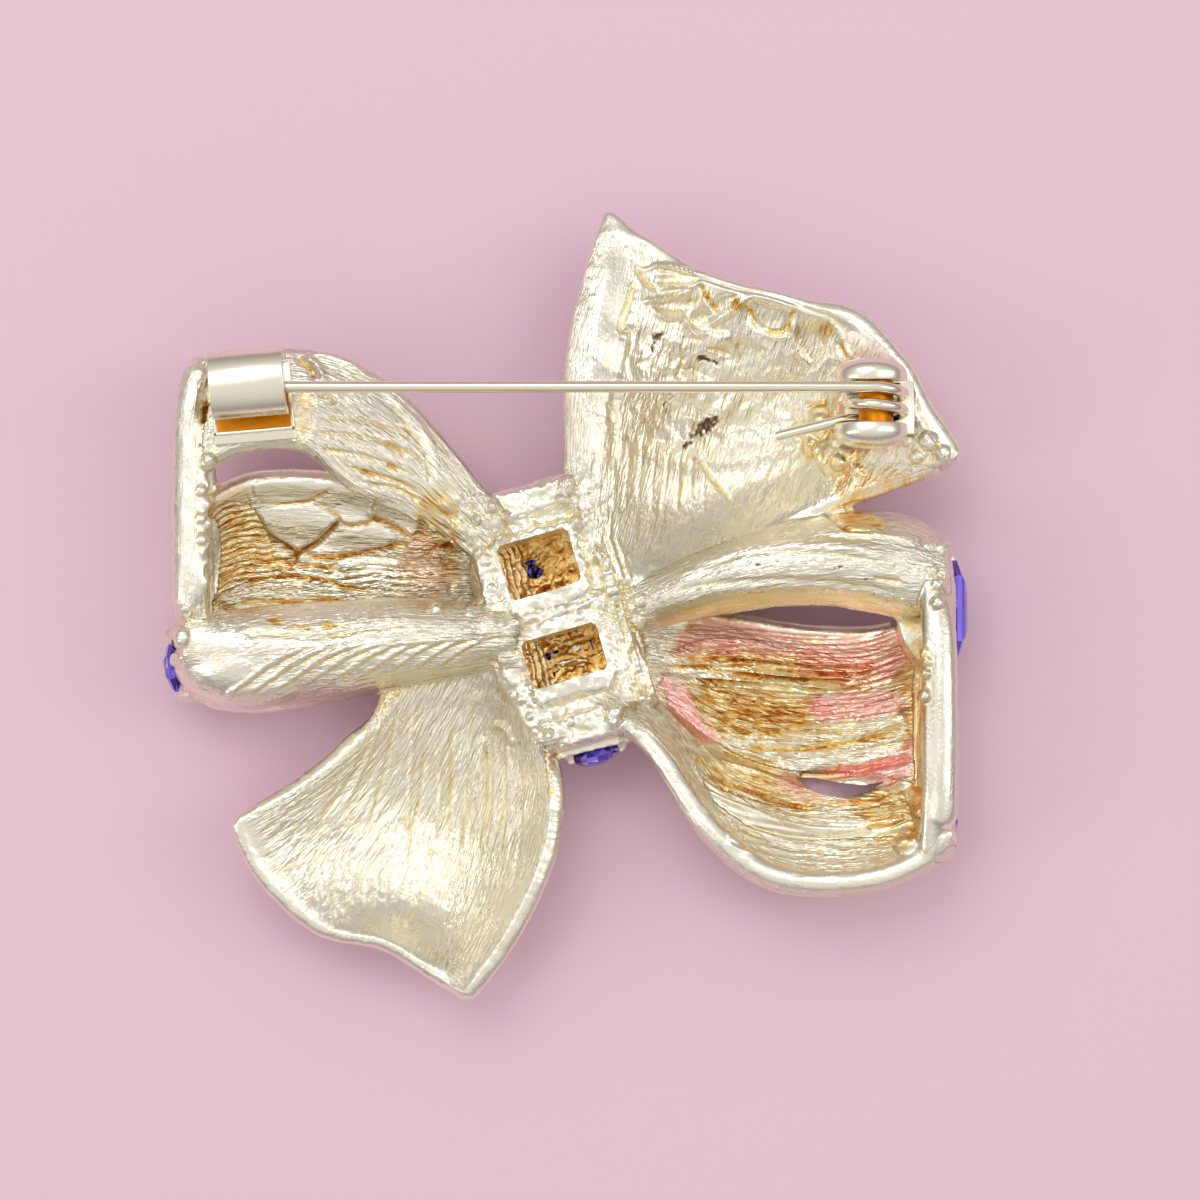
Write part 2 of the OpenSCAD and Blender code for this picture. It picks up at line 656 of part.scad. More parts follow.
// A round wire along a path, as one closed surface
module wire(path, radius, sides) {
    last = len(path) - 1;
    rings = [for (i = [0:last])
        let (ahead = unit(path[min(i + 1, last)] - path[max(i - 1, 0)]),
            side = unit(cross(ahead, [0, 1, 0])),
            up = cross(side, ahead))
        [for (k = [0:sides - 1]) let (a = 360 * k / sides)
            path[i] + radius * (side * cos(a) + up * sin(a))]];
    polyhedron(
        [for (ring = rings) each ring],
        concat(
            [[for (k = [sides - 1:-1:0]) k]],
            [for (i = [0:last - 1]) for (k = [0:sides - 1])
                [i * sides + k, i * sides + (k + 1) % sides, (i + 1) * sides + k]],
            [for (i = [0:last - 1]) for (k = [0:sides - 1])
                [i * sides + (k + 1) % sides, (i + 1) * sides + (k + 1) % sides, (i + 1) * sides + k]],
            [[for (k = [0:sides - 1]) last * sides + k]]));
}

module pin_wire() {
    shoulder = tip_x + tip_length;
    color("gold") {
        translate([shoulder, stem_y, stem_level])
            rotate([0, 90, 0])
                cylinder(r = wire_radius, h = hinge_x - coil_start + tiny - shoulder, $fn = smooth);
        translate([tip_x, stem_y, stem_level])
            rotate([0, 90, 0])
                cylinder(r1 = TIP_END * wire_radius, r2 = wire_radius, h = tip_length + tiny, $fn = smooth);
        translate([hinge_x, hinge_y, hinge_level])
            wire(coil_path, COIL_WIRE * wire_radius, bead_sides + 2);
    }
}

module knot_stone(end) {
    color("mediumslateblue")
        at_knot(end * knot_stone_pitch / 2)
            translate([0, 0, knot_girdle])
                stone(knot_stone_side, knot_stone_side);
}
module knot_stone_upper() { knot_stone(1); }
module knot_stone_lower() { knot_stone(-1); }
module knot_edge_stone() {
    color("blueviolet") at_seat(EDGE_AT) stone(edge_stone_side, edge_stone_side);
}
module left_corner_stone() {
    color("blueviolet") at_seat(CORNER_AT) stone(corner_stone_side, corner_stone_side);
}
module right_large_stone() {
    color("blueviolet") at_seat(LARGE_AT) stone(large_stone_length, large_stone_width);
}
module right_small_stone() {
    color("blueviolet") at_seat(SMALL_AT) stone(small_stone_side, small_stone_side);
}

bow_casting();
hinge_rivet();
pin_wire();
knot_stone_upper();
knot_stone_lower();
knot_edge_stone();
left_corner_stone();
right_large_stone();
right_small_stone();
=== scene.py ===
"""Looks of the bow brooch: cast metal bow, pin fittings and violet stones, seen from the back."""
import math

import bmesh
import bpy
import numpy as np
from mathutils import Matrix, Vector
from mathutils.kdtree import KDTree


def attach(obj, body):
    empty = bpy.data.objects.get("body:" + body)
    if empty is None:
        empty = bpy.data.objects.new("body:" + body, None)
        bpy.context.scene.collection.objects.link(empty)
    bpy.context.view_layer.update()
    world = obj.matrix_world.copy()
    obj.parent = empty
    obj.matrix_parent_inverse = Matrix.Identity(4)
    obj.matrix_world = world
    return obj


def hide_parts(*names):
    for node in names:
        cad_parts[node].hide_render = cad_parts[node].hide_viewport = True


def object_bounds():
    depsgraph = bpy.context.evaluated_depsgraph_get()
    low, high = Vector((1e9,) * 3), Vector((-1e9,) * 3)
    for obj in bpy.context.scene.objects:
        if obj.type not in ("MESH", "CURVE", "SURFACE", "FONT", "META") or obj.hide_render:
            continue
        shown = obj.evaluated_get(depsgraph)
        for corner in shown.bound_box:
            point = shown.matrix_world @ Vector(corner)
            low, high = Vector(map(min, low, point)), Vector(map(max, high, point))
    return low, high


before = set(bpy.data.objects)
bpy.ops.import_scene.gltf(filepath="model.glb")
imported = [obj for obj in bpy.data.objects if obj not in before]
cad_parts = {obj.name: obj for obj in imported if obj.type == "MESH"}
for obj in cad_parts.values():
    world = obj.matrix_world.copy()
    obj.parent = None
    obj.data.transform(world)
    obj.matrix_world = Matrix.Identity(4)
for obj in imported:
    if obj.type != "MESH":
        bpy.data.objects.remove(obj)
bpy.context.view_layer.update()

# Sizes in millimetres, as in the CAD part. Meshes are made in millimetres and scaled to metres at the end.
MM = 0.001
BOW = np.array([48.0, 48.0, 9.0])
WALL = 1.2
FOLD_HEIGHT = 0.45
BEAD_RADIUS = 0.42
VOXEL = 0.185

# The camera: the point it looks at, its distance from it, and half of what it sees there, in millimetres,
# and its angle above the floor, in degrees
TARGET = (2.3, 0.36, 8)
EYE_DISTANCE = 212
HALF_VIEW = 36.36
ELEVATION = 86
# Its picture is a grid of 1200 steps: the grid's middle, a step in millimetres, and the shift for each
# millimetre of height, as the camera leans a little
MIDDLE = 600
STEP = 0.0606
LEAN = 0.07

# Ribbon tables: each row is one line across the ribbon, in percent of the bow's length, width and depth:
# first edge, second edge, and how far the line's middle stands off the straight between them
LEFT_FRONT = [
    [-6.5, 12.4, 56, -6.5, -6, 54, 0, 0, -16],
    [-18.2, 14.6, 47, -18.2, -8.2, 50, 0, 0, -36],
    [-28.6, 16.6, 45, -28.6, -10.6, 48, 0, 0, -40],
    [-38.9, 17, 45, -38.9, -12, 48, 0, 0, -40],
    [-45.4, 14.4, 46, -45.2, -11.4, 48, 0, 0, -34],
]
LEFT_END = [
    [-44.4, 30, 68, -44, 30.3, 88, -2.2, 0.6, 0],
    [-45.3, 24.4, 62, -45.4, 24.6, 92, -3, 0, 0],
    [-45.4, 16, 45, -45.6, 15.9, 93, -3, 0, 0],
    [-45.4, 8.4, 22, -45.6, 8.3, 93, -3, 0, 0],
    [-45.4, 2, 13, -45.6, 2, 93, -3, 0, 0],
    [-45.3, -4.4, 18, -45.6, -4.3, 68, -3, 0, 0],
    [-44.8, -10.6, 46, -45, -10.4, 62, -3, -0.6, 0],
]
LEFT_UPPER = [
    [-47.4, 29.2, 82, -45.2, 17.4, 92, 0, 0, 4],
    [-41, 31.6, 80, -41.2, 19.8, 91, 0, 0, 6],
    [-31.8, 31.6, 76, -33.1, 20.3, 88, 0, 0, 8],
    [-23.4, 28.7, 74, -26.6, 15.4, 78, 0, 0, 8],
    [-16.8, 22.4, 72, -18.2, 12, 62, 0, 0, 8],
    [-8.2, 11.6, 68, -8, 5, 58, 0, 0, 6],
]
LEFT_LOWER = [
    [-47.4, -2.4, 82, -47.6, -10, 54, 0, 0, 14],
    [-39.4, -1, 66, -39.4, -11, 50, 0, 0, 30],
    [-29.3, -0.2, 62, -29.3, -10.2, 50, 0, 0, 34],
    [-20.5, 0.2, 60, -20.5, -8.4, 50, 0, 0, 34],
    [-6.6, -0.8, 60, -6.4, -6, 54, 0, 0, 20],
]
RIGHT_FRONT = [
    [6.8, -2.2, 52, 5.6, -14, 50, 0, 0, -14],
    [12.6, -0.8, 48, 12.2, -17, 44, 0, 0, -20],
    [20.3, -0.9, 44, 19.8, -24.4, 30, 0, 0, -24],
    [29.4, -2.4, 42, 28.9, -28, 24, 0, 0, -26.5],
    [38.4, -2.9, 42, 38.4, -28, 24, 0, 0, -26.5],
    [45.6, -1.6, 44, 45.6, -27.6, 30, 0, 0, -24],
]
RIGHT_LOWER = [
    [6.6, -9, 56, 5.4, -13.6, 66, 0, 0, 0],
    [12.6, -12.6, 42, 11.6, -17.8, 74, 0, -0.6, -4],
    [20.4, -18.6, 22, 18.6, -27.4, 80, -0.8, -3.4, -12],
    [29.2, -21.4, 13, 26.8, -33.4, 84, -0.8, -4.8, -15],
    [38.2, -21.6, 13, 37.6, -34, 88, 0, -4.8, -15],
    [44.8, -23, 20, 45.4, -31.2, 88, 1.2, -3.4, -14],
    [46.8, -25.4, 44, 48, -28, 88, 1.6, -2, -6],
]
RIGHT_END = [
    [46, 7, 62, 45.6, 7.3, 86, 2.2, 0.5, 0],
    [46, 2, 50, 46.1, 2, 92, 2.8, 0, 0],
    [46, -5.6, 28, 46.1, -5.6, 94, 2.8, 0, 0],
    [46, -14.4, 14, 46, -14.4, 94, 2.8, 0, 0],
    [46, -23.2, 18, 46, -23.2, 94, 2.8, 0, 0],
    [46, -30, 44, 45.6, -30.4, 88, 2.8, -0.6, 0],
]
RIGHT_UPPER = [
    [5.6, 1.4, 56, 6, -2.4, 56, 0, 0, 10],
    [10.4, 3, 56, 11.4, -1.4, 56, 0, 0, 18],
    [17.4, 6, 54, 18.1, 0.1, 58, 0, 0, 28],
    [26.3, 9.2, 54, 27.5, 1.4, 60, 0, 0, 35],
    [35.7, 11.2, 56, 36.4, 1.2, 62, 0, 0, 35],
    [43.3, 11, 58, 43.9, -0.2, 70, 0, 0, 28],
    [48, 8.2, 64, 48, 0.8, 78, 0, 0, 18],
]
UPPER_TAIL = [
    [5.6, 48.8, 52, 1.6, 13, 66, -2.6, 0, 10],
    [10.5, 46, 54, 3.4, 8.6, 70, -1.2, 0, 6],
    [19.3, 42, 56, 7.2, 3.6, 68, 0.4, 0, -30],
    [28.2, 39.4, 58, 16, 4.6, 60, 0, 0, -44],
    [36.4, 36, 60, 26.9, 9.8, 58, 0, 0, -36],
    [42.4, 30, 72, 35.7, 13.4, 64, 0, 0, -8],
    [46.2, 23.4, 80, 43.3, 15.9, 74, 0, 0, -4],
    [49, 18.6, 84, 47.6, 17.4, 82, 0, 0, 0],
]
LOWER_TAIL = [
    [-22.3, -10.6, 44, -40, -26.8, 66, 2.4, 0, 2],
    [-16.4, -7, 50, -37.2, -34.6, 58, 1, 0, -18],
    [-10.4, -6, 56, -29.6, -41.8, 52, 0, 0, -36],
    [-6.4, -8.4, 60, -20.4, -45.6, 50, 0, 0, -47],
    [-4.6, -12, 64, -15.2, -47.4, 52, 0.8, 0, -38],
    [-3, -15.2, 64, -13, -48.4, 58, 3.5, 1, -15],
    [-2, -17.4, 64, -12, -48.8, 62, 5, 1.5, 6],
]
# Raised folds along the ribbons: start and end across the lines, width, and height
LEFT_FRONT_FOLDS = [
    [0.3, 0.14, 0.07, 1], [0.5, 0.36, 0.07, 0.9], [0.64, 0.6, 0.06, 0.8], [0.76, 0.84, 0.06, 0.7],
]
RIGHT_FRONT_FOLDS = [[0.34, 0.2, 0.07, 0.8], [0.62, 0.62, 0.08, 0.8]]
UPPER_TAIL_FOLDS = [
    [0.2, 0.16, 0.07, 0.8], [0.34, 0.4, 0.06, 0.8], [0.5, 0.52, 0.06, 0.8], [0.66, 0.6, 0.06, 0.6],
]
LOWER_TAIL_FOLDS = [[0.3, 0.34, 0.08, 0.5], [0.7, 0.62, 0.08, 0.5]]

# Name, table, lines, points, fullness, folds, whether the grain runs along the rows (else across them),
# and the ribbon's length and width in millimetres, which set the grain's scale
RIBBONS = [
    ("left_front_layer", LEFT_FRONT, 80, 70, 0.4, LEFT_FRONT_FOLDS, True, 19, 15),
    ("left_end_fold", LEFT_END, 80, 40, 1, [], True, 20, 7),
    ("left_upper_arm", LEFT_UPPER, 80, 36, 0, [], True, 21, 6.5),
    ("left_lower_arm", LEFT_LOWER, 80, 36, 0.6, [], True, 20, 6.5),
    ("right_front_layer", RIGHT_FRONT, 80, 54, 0.3, RIGHT_FRONT_FOLDS, True, 19, 11),
    ("right_lower_side", RIGHT_LOWER, 90, 48, 0.2, [], True, 22, 8),
    ("right_end_fold", RIGHT_END, 80, 40, 1, [], True, 18, 7),
    ("right_upper_arm", RIGHT_UPPER, 84, 40, 0.6, [], True, 21, 7),
    ("upper_tail", UPPER_TAIL, 110, 80, 0, UPPER_TAIL_FOLDS, False, 26, 17),
    ("lower_tail", LOWER_TAIL, 80, 76, 0, LOWER_TAIL_FOLDS, False, 17, 18),
]
BEAD_ROWS = [
    [-45, 20, 95, -45, 3, 96, 8],
    [47.2, 6.4, 88, 47.4, 0.4, 97, 3],
    [45.6, -6, 99, 45.6, -11, 99, 3],
]
BLOBS = [
    [35.6, 19.4, 60, 3.4, 2.6, 11],
    [33.4, 22.6, 50, 3, 2.4, 12],
    [45.6, 20, 77, 2.6, 2.4, 9],
]


def unit(a):
    return a / np.maximum(np.linalg.norm(a, axis=-1, keepdims=True), 1e-9)


def mix(a, b, t):
    return a + (b - a) * t


def smoothstep(low, high, x):
    t = np.clip((x - low) / (high - low), 0, 1)
    return t * t * (3 - 2 * t)


def circle(count):
    """Angles in radians, evenly around a circle."""
    return np.linspace(0, 2 * math.pi, count + 1)[:-1]


def spline(a, b, c, d, u):
    """The smooth curve from b to c, with a before them and d after them."""
    return 0.5 * (2 * b + (c - a) * u + (2 * a - 5 * b + 4 * c - d) * u * u + (3 * b - a - 3 * c + d) * u ** 3)


def lattice(i, seed):
    """A steady random number from -1 to 1 for each point of a lattice."""
    n = i[..., 0] * 374761393 + i[..., 1] * 668265263 + i[..., 2] * 1274126177 + seed * 974711
    n = n & 0xFFFFFFFF
    n = ((n ^ (n >> 13)) * 1103515245) & 0xFFFFFFFF
    n = ((n ^ (n >> 15)) * 668265263) & 0xFFFFFFFF
    return ((n ^ (n >> 16)) & 0xFFFF) / 32767.5 - 1.0


def noise(p, seed=0):
    p = np.asarray(p, float)
    i = np.floor(p).astype(np.int64)
    f = p - i
    u = f * f * f * (f * (f * 6 - 15) + 10)
    total = 0
    for corner in range(8):
        offset = np.array([corner & 1, corner >> 1 & 1, corner >> 2 & 1])
        weight = np.prod(np.where(offset == 1, u, 1 - u), axis=-1)
        total = total + weight * lattice(i + offset, seed)
    return total


def noise2(a, b, seed=0):
    return noise(np.stack([a, b, np.full_like(a, 0.37)], axis=-1), seed)


def fbm(p, seed=0, octaves=3):
    return sum(noise(p * 2.0 ** k, seed + k) * 0.5 ** k for k in range(octaves))


def ribbon_grid(table, lines, points, fullness, folds):
    """Points on a ribbon's middle surface: lines along the table's rows, points across them."""
    t = np.array(table, float)
    last = len(t) - 1
    s = np.linspace(0, 1, lines + 1)
    f = s * last
    i = np.minimum(np.floor(f).astype(int), last - 1)
    rows = spline(t[np.maximum(i - 1, 0)], t[i], t[i + 1], t[np.minimum(i + 2, last)], (f - i)[:, None])
    v = np.linspace(0, 1, points + 1)
    along = mix(v, (1 - np.cos(math.pi * v)) / 2, fullness)
    height = mix(4 * v * (1 - v), np.sin(math.pi * v), fullness)
    rows = rows[:, None, :]
    grid = mix(rows[..., 0:3], rows[..., 3:6], along[None, :, None]) + rows[..., 6:9] * height[None, :, None]
    grid = grid * BOW / 100
    for first, second, width, tall in folds:
        middle = mix(first, second, s)[:, None]
        grid[..., 2] += (tall * np.exp(-((v[None, :] - middle) / width) ** 2)
                         * FOLD_HEIGHT * np.sin(math.pi * s)[:, None])
    return grid


def facings(grid):
    """Which way the sheet faces at each point."""
    along = grid[np.r_[1:len(grid), -1]] - grid[np.r_[0, 0:len(grid) - 1]]
    across = grid[:, np.r_[1:grid.shape[1], -1]] - grid[:, np.r_[0, 0:grid.shape[1] - 1]]
    return unit(np.cross(along, across))


def closed_sheet(grid):
    """A ribbon's two faces, half a wall to each side of its middle surface, and its rounded edge."""
    n, m = grid.shape[:2]
    normal = facings(grid)
    index = np.arange(n * m).reshape(n, m)
    loop = np.concatenate([index[0, :-1], index[:-1, -1], index[-1, :0:-1], index[:0:-1, 0]])
    inner = np.concatenate([index[1, :-1], index[:-1, -2], index[-2, :0:-1], index[:0:-1, 1]])
    flat, facing = grid.reshape(-1, 3), normal.reshape(-1, 3)
    outwards = unit(flat[loop] - flat[inner])
    verts = [flat + facing * WALL / 2, flat - facing * WALL / 2]
    quads = [np.stack([index[:-1, :-1], index[:-1, 1:], index[1:, 1:], index[1:, :-1]], -1).reshape(-1, 4)]
    quads.append(quads[0][:, ::-1] + n * m)
    ring = loop
    start = 2 * n * m
    for turn in np.radians([60, 30, 0, -30, -60]):
        lift = facing[loop] * WALL / 2 * math.sin(turn)
        verts.append(flat[loop] + lift + outwards * WALL / 3 * math.cos(turn))
        now = np.arange(start, start + len(loop))
        quads.append(np.stack([ring, now, np.roll(now, -1), np.roll(ring, -1)], -1))
        ring = now
        start += len(loop)
    low = loop + n * m
    quads.append(np.stack([ring, low, np.roll(low, -1), np.roll(ring, -1)], -1))
    return np.concatenate(verts), np.concatenate(quads)


class Parts:
    """Vertices and faces of several closed meshes, kept together."""

    def __init__(self):
        self.verts, self.faces, self.count = [], [], 0

    def add(self, verts, *groups):
        """Adds a mesh: its vertices, and its faces in one or more groups, each an array or a list."""
        for faces in groups:
            if isinstance(faces, np.ndarray):
                self.faces.append(faces + self.count)
            else:
                self.faces.extend(np.array([face]) + self.count for face in faces)
        self.verts.append(np.asarray(verts, float))
        self.count += len(verts)

    def put(self, shape, place):
        """Adds a shape, with the function place to move its vertices."""
        self.add(place(shape[0]), *shape[1:])

    def mesh(self, name, scale=1.0):
        return mesh_of(name, np.concatenate(self.verts) * scale, self.faces)


def mesh_from(name, verts, corners, sizes):
    """A mesh from its vertices, the vertex at each corner of its faces, and the faces' numbers of corners."""
    mesh = bpy.data.meshes.new(name)
    mesh.vertices.add(len(verts))
    mesh.vertices.foreach_set("co", np.asarray(verts, np.float32).reshape(-1))
    mesh.loops.add(len(corners))
    mesh.loops.foreach_set("vertex_index", corners.astype(np.int32))
    mesh.polygons.add(len(sizes))
    mesh.polygons.foreach_set("loop_start", np.concatenate([[0], np.cumsum(sizes)[:-1]]).astype(np.int32))
    mesh.update(calc_edges=True)
    return mesh


def mesh_of(name, verts, faces):
    """A mesh from its vertices and arrays of faces."""
    corners = np.concatenate([f.reshape(-1) for f in faces])
    mesh = mesh_from(name, verts, corners, np.concatenate([np.full(len(f), f.shape[1]) for f in faces]))
    mesh.validate()
    return mesh


def linked(name, mesh):
    obj = bpy.data.objects.new(name, mesh)
    bpy.context.scene.collection.objects.link(obj)
    return obj


def applied(obj):
    """Applies the object's modifiers to its mesh."""
    deps = bpy.context.evaluated_depsgraph_get()
    mesh = bpy.data.meshes.new_from_object(obj.evaluated_get(deps), depsgraph=deps)
    old = obj.data
    obj.modifiers.clear()
    obj.data = mesh
    bpy.data.meshes.remove(old)


def read(items, key, width=1, kind=np.float32):
    """One property of all of a mesh's vertices, edges, corners or faces, as an array."""
    values = np.empty(len(items) * width, kind)
    items.foreach_get(key, values)
    return values.reshape(-1, width) if width > 1 else values


def bm_arrays(bm):
    """A bmesh as vertices and faces. The bmesh is freed."""
    bm.verts.index_update()
    verts, faces = np.array([v.co[:] for v in bm.verts]), [[v.index for v in f.verts] for f in bm.faces]
    bm.free()
    return verts, faces


def ball(detail):
    bm = bmesh.new()
    bmesh.ops.create_icosphere(bm, subdivisions=detail, radius=1)
    verts, faces = bm_arrays(bm)
    return verts, np.array(faces)


BALL = ball(3)


def turn_z(points, degrees):
    a = math.radians(degrees)
    return points @ np.array([[math.cos(a), math.sin(a), 0], [-math.sin(a), math.cos(a), 0], [0, 0, 1]])


def turn_y(points, degrees):
    a = math.radians(degrees)
    return points @ np.array([[math.cos(a), 0, -math.sin(a)], [0, 1, 0], [math.sin(a), 0, math.cos(a)]])


def prism(outline, low, high):
    n = len(outline)
    verts = [[x, y, z] for z in (low, high) for x, y in outline]
    faces = [list(range(n))[::-1], list(range(n, 2 * n))]
    faces += [[i, (i + 1) % n, n + (i + 1) % n, n + i] for i in range(n)]
    return np.array(verts, float), faces


def cut_outline(length, width, corner=0.26):
    c, x, y = corner * min(length, width), width / 2, length / 2
    return [[x, y - c], [x - c, y], [c - x, y], [-x, y - c], [-x, c - y], [c - x, -y], [x - c, -y], [x, c - y]]


def box(size, at=(0, 0, 0)):
    x, y, z = np.array(size) / 2
    verts, faces = prism([[-x, -y], [x, -y], [x, y], [-x, y]], -z, z)
    return verts + np.array(at, float), faces


grids = [ribbon_grid(*row[1:6]) for row in RIBBONS]
bow = Parts()
for grid in grids:
    bow.add(*closed_sheet(grid))
for row in BEAD_ROWS:
    for k in range(row[6]):
        middle = mix(np.array(row[0:3]), np.array(row[3:6]), k / (row[6] - 1)) * BOW / 100
        sizes = BEAD_RADIUS * np.array([0.85 + 0.25 * math.sin(5.1 * k), 0.95 + 0.3 * math.sin(3.7 * k + 1),
                                        0.85])
        bow.add(BALL[0] * sizes + middle, BALL[1])
for blob in BLOBS:
    bow.add(BALL[0] * np.array(blob[3:6]) * BOW / 100 + np.array(blob[0:3]) * BOW / 100, BALL[1])
extent = np.concatenate(bow.verts)
FIT = BOW / (extent.max(0) - extent.min(0))
bow.verts = [v * FIT for v in bow.verts]
grids = [grid * FIT for grid in grids]

# Knot, its frames, plates, bar and beads
KNOT_SIZE = (9.4, 16.4)
KNOT_TURN = 16
KNOT_AT = np.array([-0.48, -0.288, 0])
KNOT_ROUNDING = 1.1
KNOT_FRONT, KNOT_BACK = 0.54, 6.39
KNOT_GIRDLE, KNOT_LEDGE = 1.62, 2.205
STONE_PITCH = 5.85
KNOT_STONE = 4.5
OPENING = (4.185, 3.6)
FRAME_WIDTH, FRAME_HEIGHT, PLATE_HEIGHT = 0.55, 0.45, 0.3
KNOT_OUTLINE = [
    [-0.26, 0.5], [0.36, 0.5], [0.5, 0.16], [0.5, -0.24],
    [0.26, -0.5], [-0.3, -0.5], [-0.48, -0.2], [-0.46, 0.24],
]
# Plates on the knot: middle and size as shares of the knot's, and angle
PLATES = [
    [0.36, -0.2, 0.2, 0.4, 6],
    [-0.04, -0.44, 0.5, 0.1, 0],
    [0.02, 0.43, 0.5, 0.09, -2],
    [-0.36, 0.08, 0.12, 0.42, -3],
]
KNOT_BEADS = [
    [-0.27, -0.45], [0.17, -0.45], [0.4, 0.02], [0.4, 0.09], [0.38, 0.16],
    [0.32, 0.44], [-0.2, 0.44], [-0.37, 0.29], [0.4, -0.4], [0.3, 0.3],
]

# Stones: middle of the girdle in percent, heading and tilt in degrees, length and width in millimetres
STONE_GAP, SEAT_RIM, SEAT_FRONT, SEAT_BACK, SEAT_TOP = 0.06, 0.45, 0.03, 0.56, 0.12
STONES = [
    ("right_large_stone", [49.8, 0, 46, 0, 78], 6, 3.8),
    ("right_small_stone", [49.4, -27.6, 44, -12, 78], 2, 2),
    ("left_corner_stone", [-49.4, -7.4, 46, 188, 78], 3, 3),
    ("knot_edge_stone", [4.3, -18.4, 40, -74, 78], 2.8, 2.8),
]
# A stone's cut, as shares of its smaller side: the height of its girdle's top edge, and the width and
# height of the end of its pointed back
GIRDLE_TOP, CULET = 0.04, (0.14, 0.44)


def at_knot(points, along=0):
    return turn_z(points + np.array([0, along, 0]), KNOT_TURN) + KNOT_AT


def at_seat(points, seat):
    return turn_z(turn_y(points, -seat[4]), seat[3]) + np.array(seat[0:3]) * BOW / 100


def hull_of(points):
    bm = bmesh.new()
    for point in points:
        bm.verts.new(point)
    made = bmesh.ops.convex_hull(bm, input=bm.verts)
    inside = [item for item in made["geom_interior"] if isinstance(item, bmesh.types.BMVert)]
    bmesh.ops.delete(bm, geom=inside, context="VERTS")
    return bm_arrays(bm)


inner_knot = np.array(KNOT_SIZE) - 2 * KNOT_ROUNDING
knot_points = np.concatenate([BALL[0] * KNOT_ROUNDING + [x * inner_knot[0], y * inner_knot[1], z]
                              for x, y in KNOT_OUTLINE
                              for z in (KNOT_FRONT + KNOT_ROUNDING, KNOT_BACK - KNOT_ROUNDING)])
bow.put(hull_of(knot_points), at_knot)
for x, y, width, height, angle in PLATES:
    verts, faces = box((width * KNOT_SIZE[0], height * KNOT_SIZE[1], 2 * PLATE_HEIGHT))
    bow.add(at_knot(turn_z(verts, angle) + [x * KNOT_SIZE[0], y * KNOT_SIZE[1], KNOT_BACK]), faces)
for x, y in KNOT_BEADS:
    at = [x * KNOT_SIZE[0], y * KNOT_SIZE[1], KNOT_BACK + PLATE_HEIGHT]
    bow.add(at_knot(BALL[0] * BEAD_RADIUS + at), BALL[1])
bar = [[PLATE_HEIGHT * 1.3 * math.cos(a), PLATE_HEIGHT * 1.3 * math.sin(a)] for a in circle(24)]
verts, faces = prism(bar, -0.35 * KNOT_SIZE[0], 0.35 * KNOT_SIZE[0])
bow.add(at_knot(verts[:, [2, 0, 1]] + [0, 0, KNOT_BACK]), faces)
for end in (-1, 1):
    outline = cut_outline(OPENING[1] + 2 * FRAME_WIDTH, OPENING[0] + 2 * FRAME_WIDTH, 0.1)
    verts, faces = prism(outline, KNOT_BACK - FRAME_HEIGHT, KNOT_BACK + FRAME_HEIGHT)
    bow.add(at_knot(verts, end * STONE_PITCH / 2), faces)
for name, seat, length, width in STONES:
    side, grow = min(length, width), 2 * (STONE_GAP + SEAT_RIM)
    verts, faces = prism(cut_outline(length + grow, width + grow), -SEAT_FRONT * side, SEAT_BACK * side)
    verts = at_seat(verts, seat)
    verts[:, 2] = np.minimum(verts[:, 2], seat[2] * BOW[2] / 100 + SEAT_TOP * width)
    bow.add(verts, faces)
# Rounded rolls along the end folds: points (across, up, deep in millimetres), radii across and in depth
ROLLS = [
    ([[-21.6, 14.6, 7.3], [-22.3, 13.6, 7.7], [-22.64, 11.5, 7.85], [-22.7, 7, 7.85], [-22.7, 3, 7.85],
      [-22.66, 0.8, 7.7], [-22.6, -0.6, 7.3]], 1.03, 1.0),
    ([[21.6, 1.6, 6.7], [22.4, 0.6, 7.4], [22.8, -1, 7.8], [22.95, -4, 8.0], [22.95, -8, 8.0],
      [22.9, -12, 7.9], [22.7, -13.6, 7.5]], 1.03, 1.0),
]
# Rounded swellings: middle and radii in millimetres
SWELLS = [
    ([-19.3, -3.3, 5.5], [4.6, 2.9, 2.7]),
    ([22.2, -14.3, 6.9], [1.4, 0.85, 1.15]),
    ([20.8, -14.4, 6.8], [0.9, 0.75, 1.1]),
]
# Blocks that close gaps beside the right end fold and under the knot's lip: outline, bottom and top
BLOCKS = [
    ([[20.29, 0.82], [20.48, -0.78], [20.78, -1.88], [21.52, -3.1], [22.37, -3.59], [22.25, 0.57]], 2.5, 6.2),
    ([[-1.03, -8.62], [-0.42, -9.24], [2.92, -8.44], [5.26, -7.88], [5.14, -7.26], [2.67, -7.7]], 3.5, 5.2),
]
# How the outline is moved, in millimetres: place, move, and reach
MOVES = [
    ([2.6, 23.4], [0.15, 0.8], 2.6),
    ([17.6, 17.2], [0.3, 0.62], 3.0),
    ([20.8, 14.0], [0.5, 0.5], 2.8),
    ([23.2, 9.9], [0.6, 0.25], 2.4),
    ([-19.2, -13.5], [-0.7, -0.05], 3.2),
    ([-11.4, -22.5], [0.1, 1.25], 3.4),
]


def curve_points(points, steps):
    """A smooth curve through a list of points."""
    points = np.array(points, float)
    ends = np.concatenate([[2 * points[0] - points[1]], points, [2 * points[-1] - points[-2]]])
    out = [spline(*ends[i:i + 4], u) for i in range(len(points) - 1)
           for u in np.linspace(0, 1, steps, endpoint=False)]
    return np.array(out + [points[-1]])


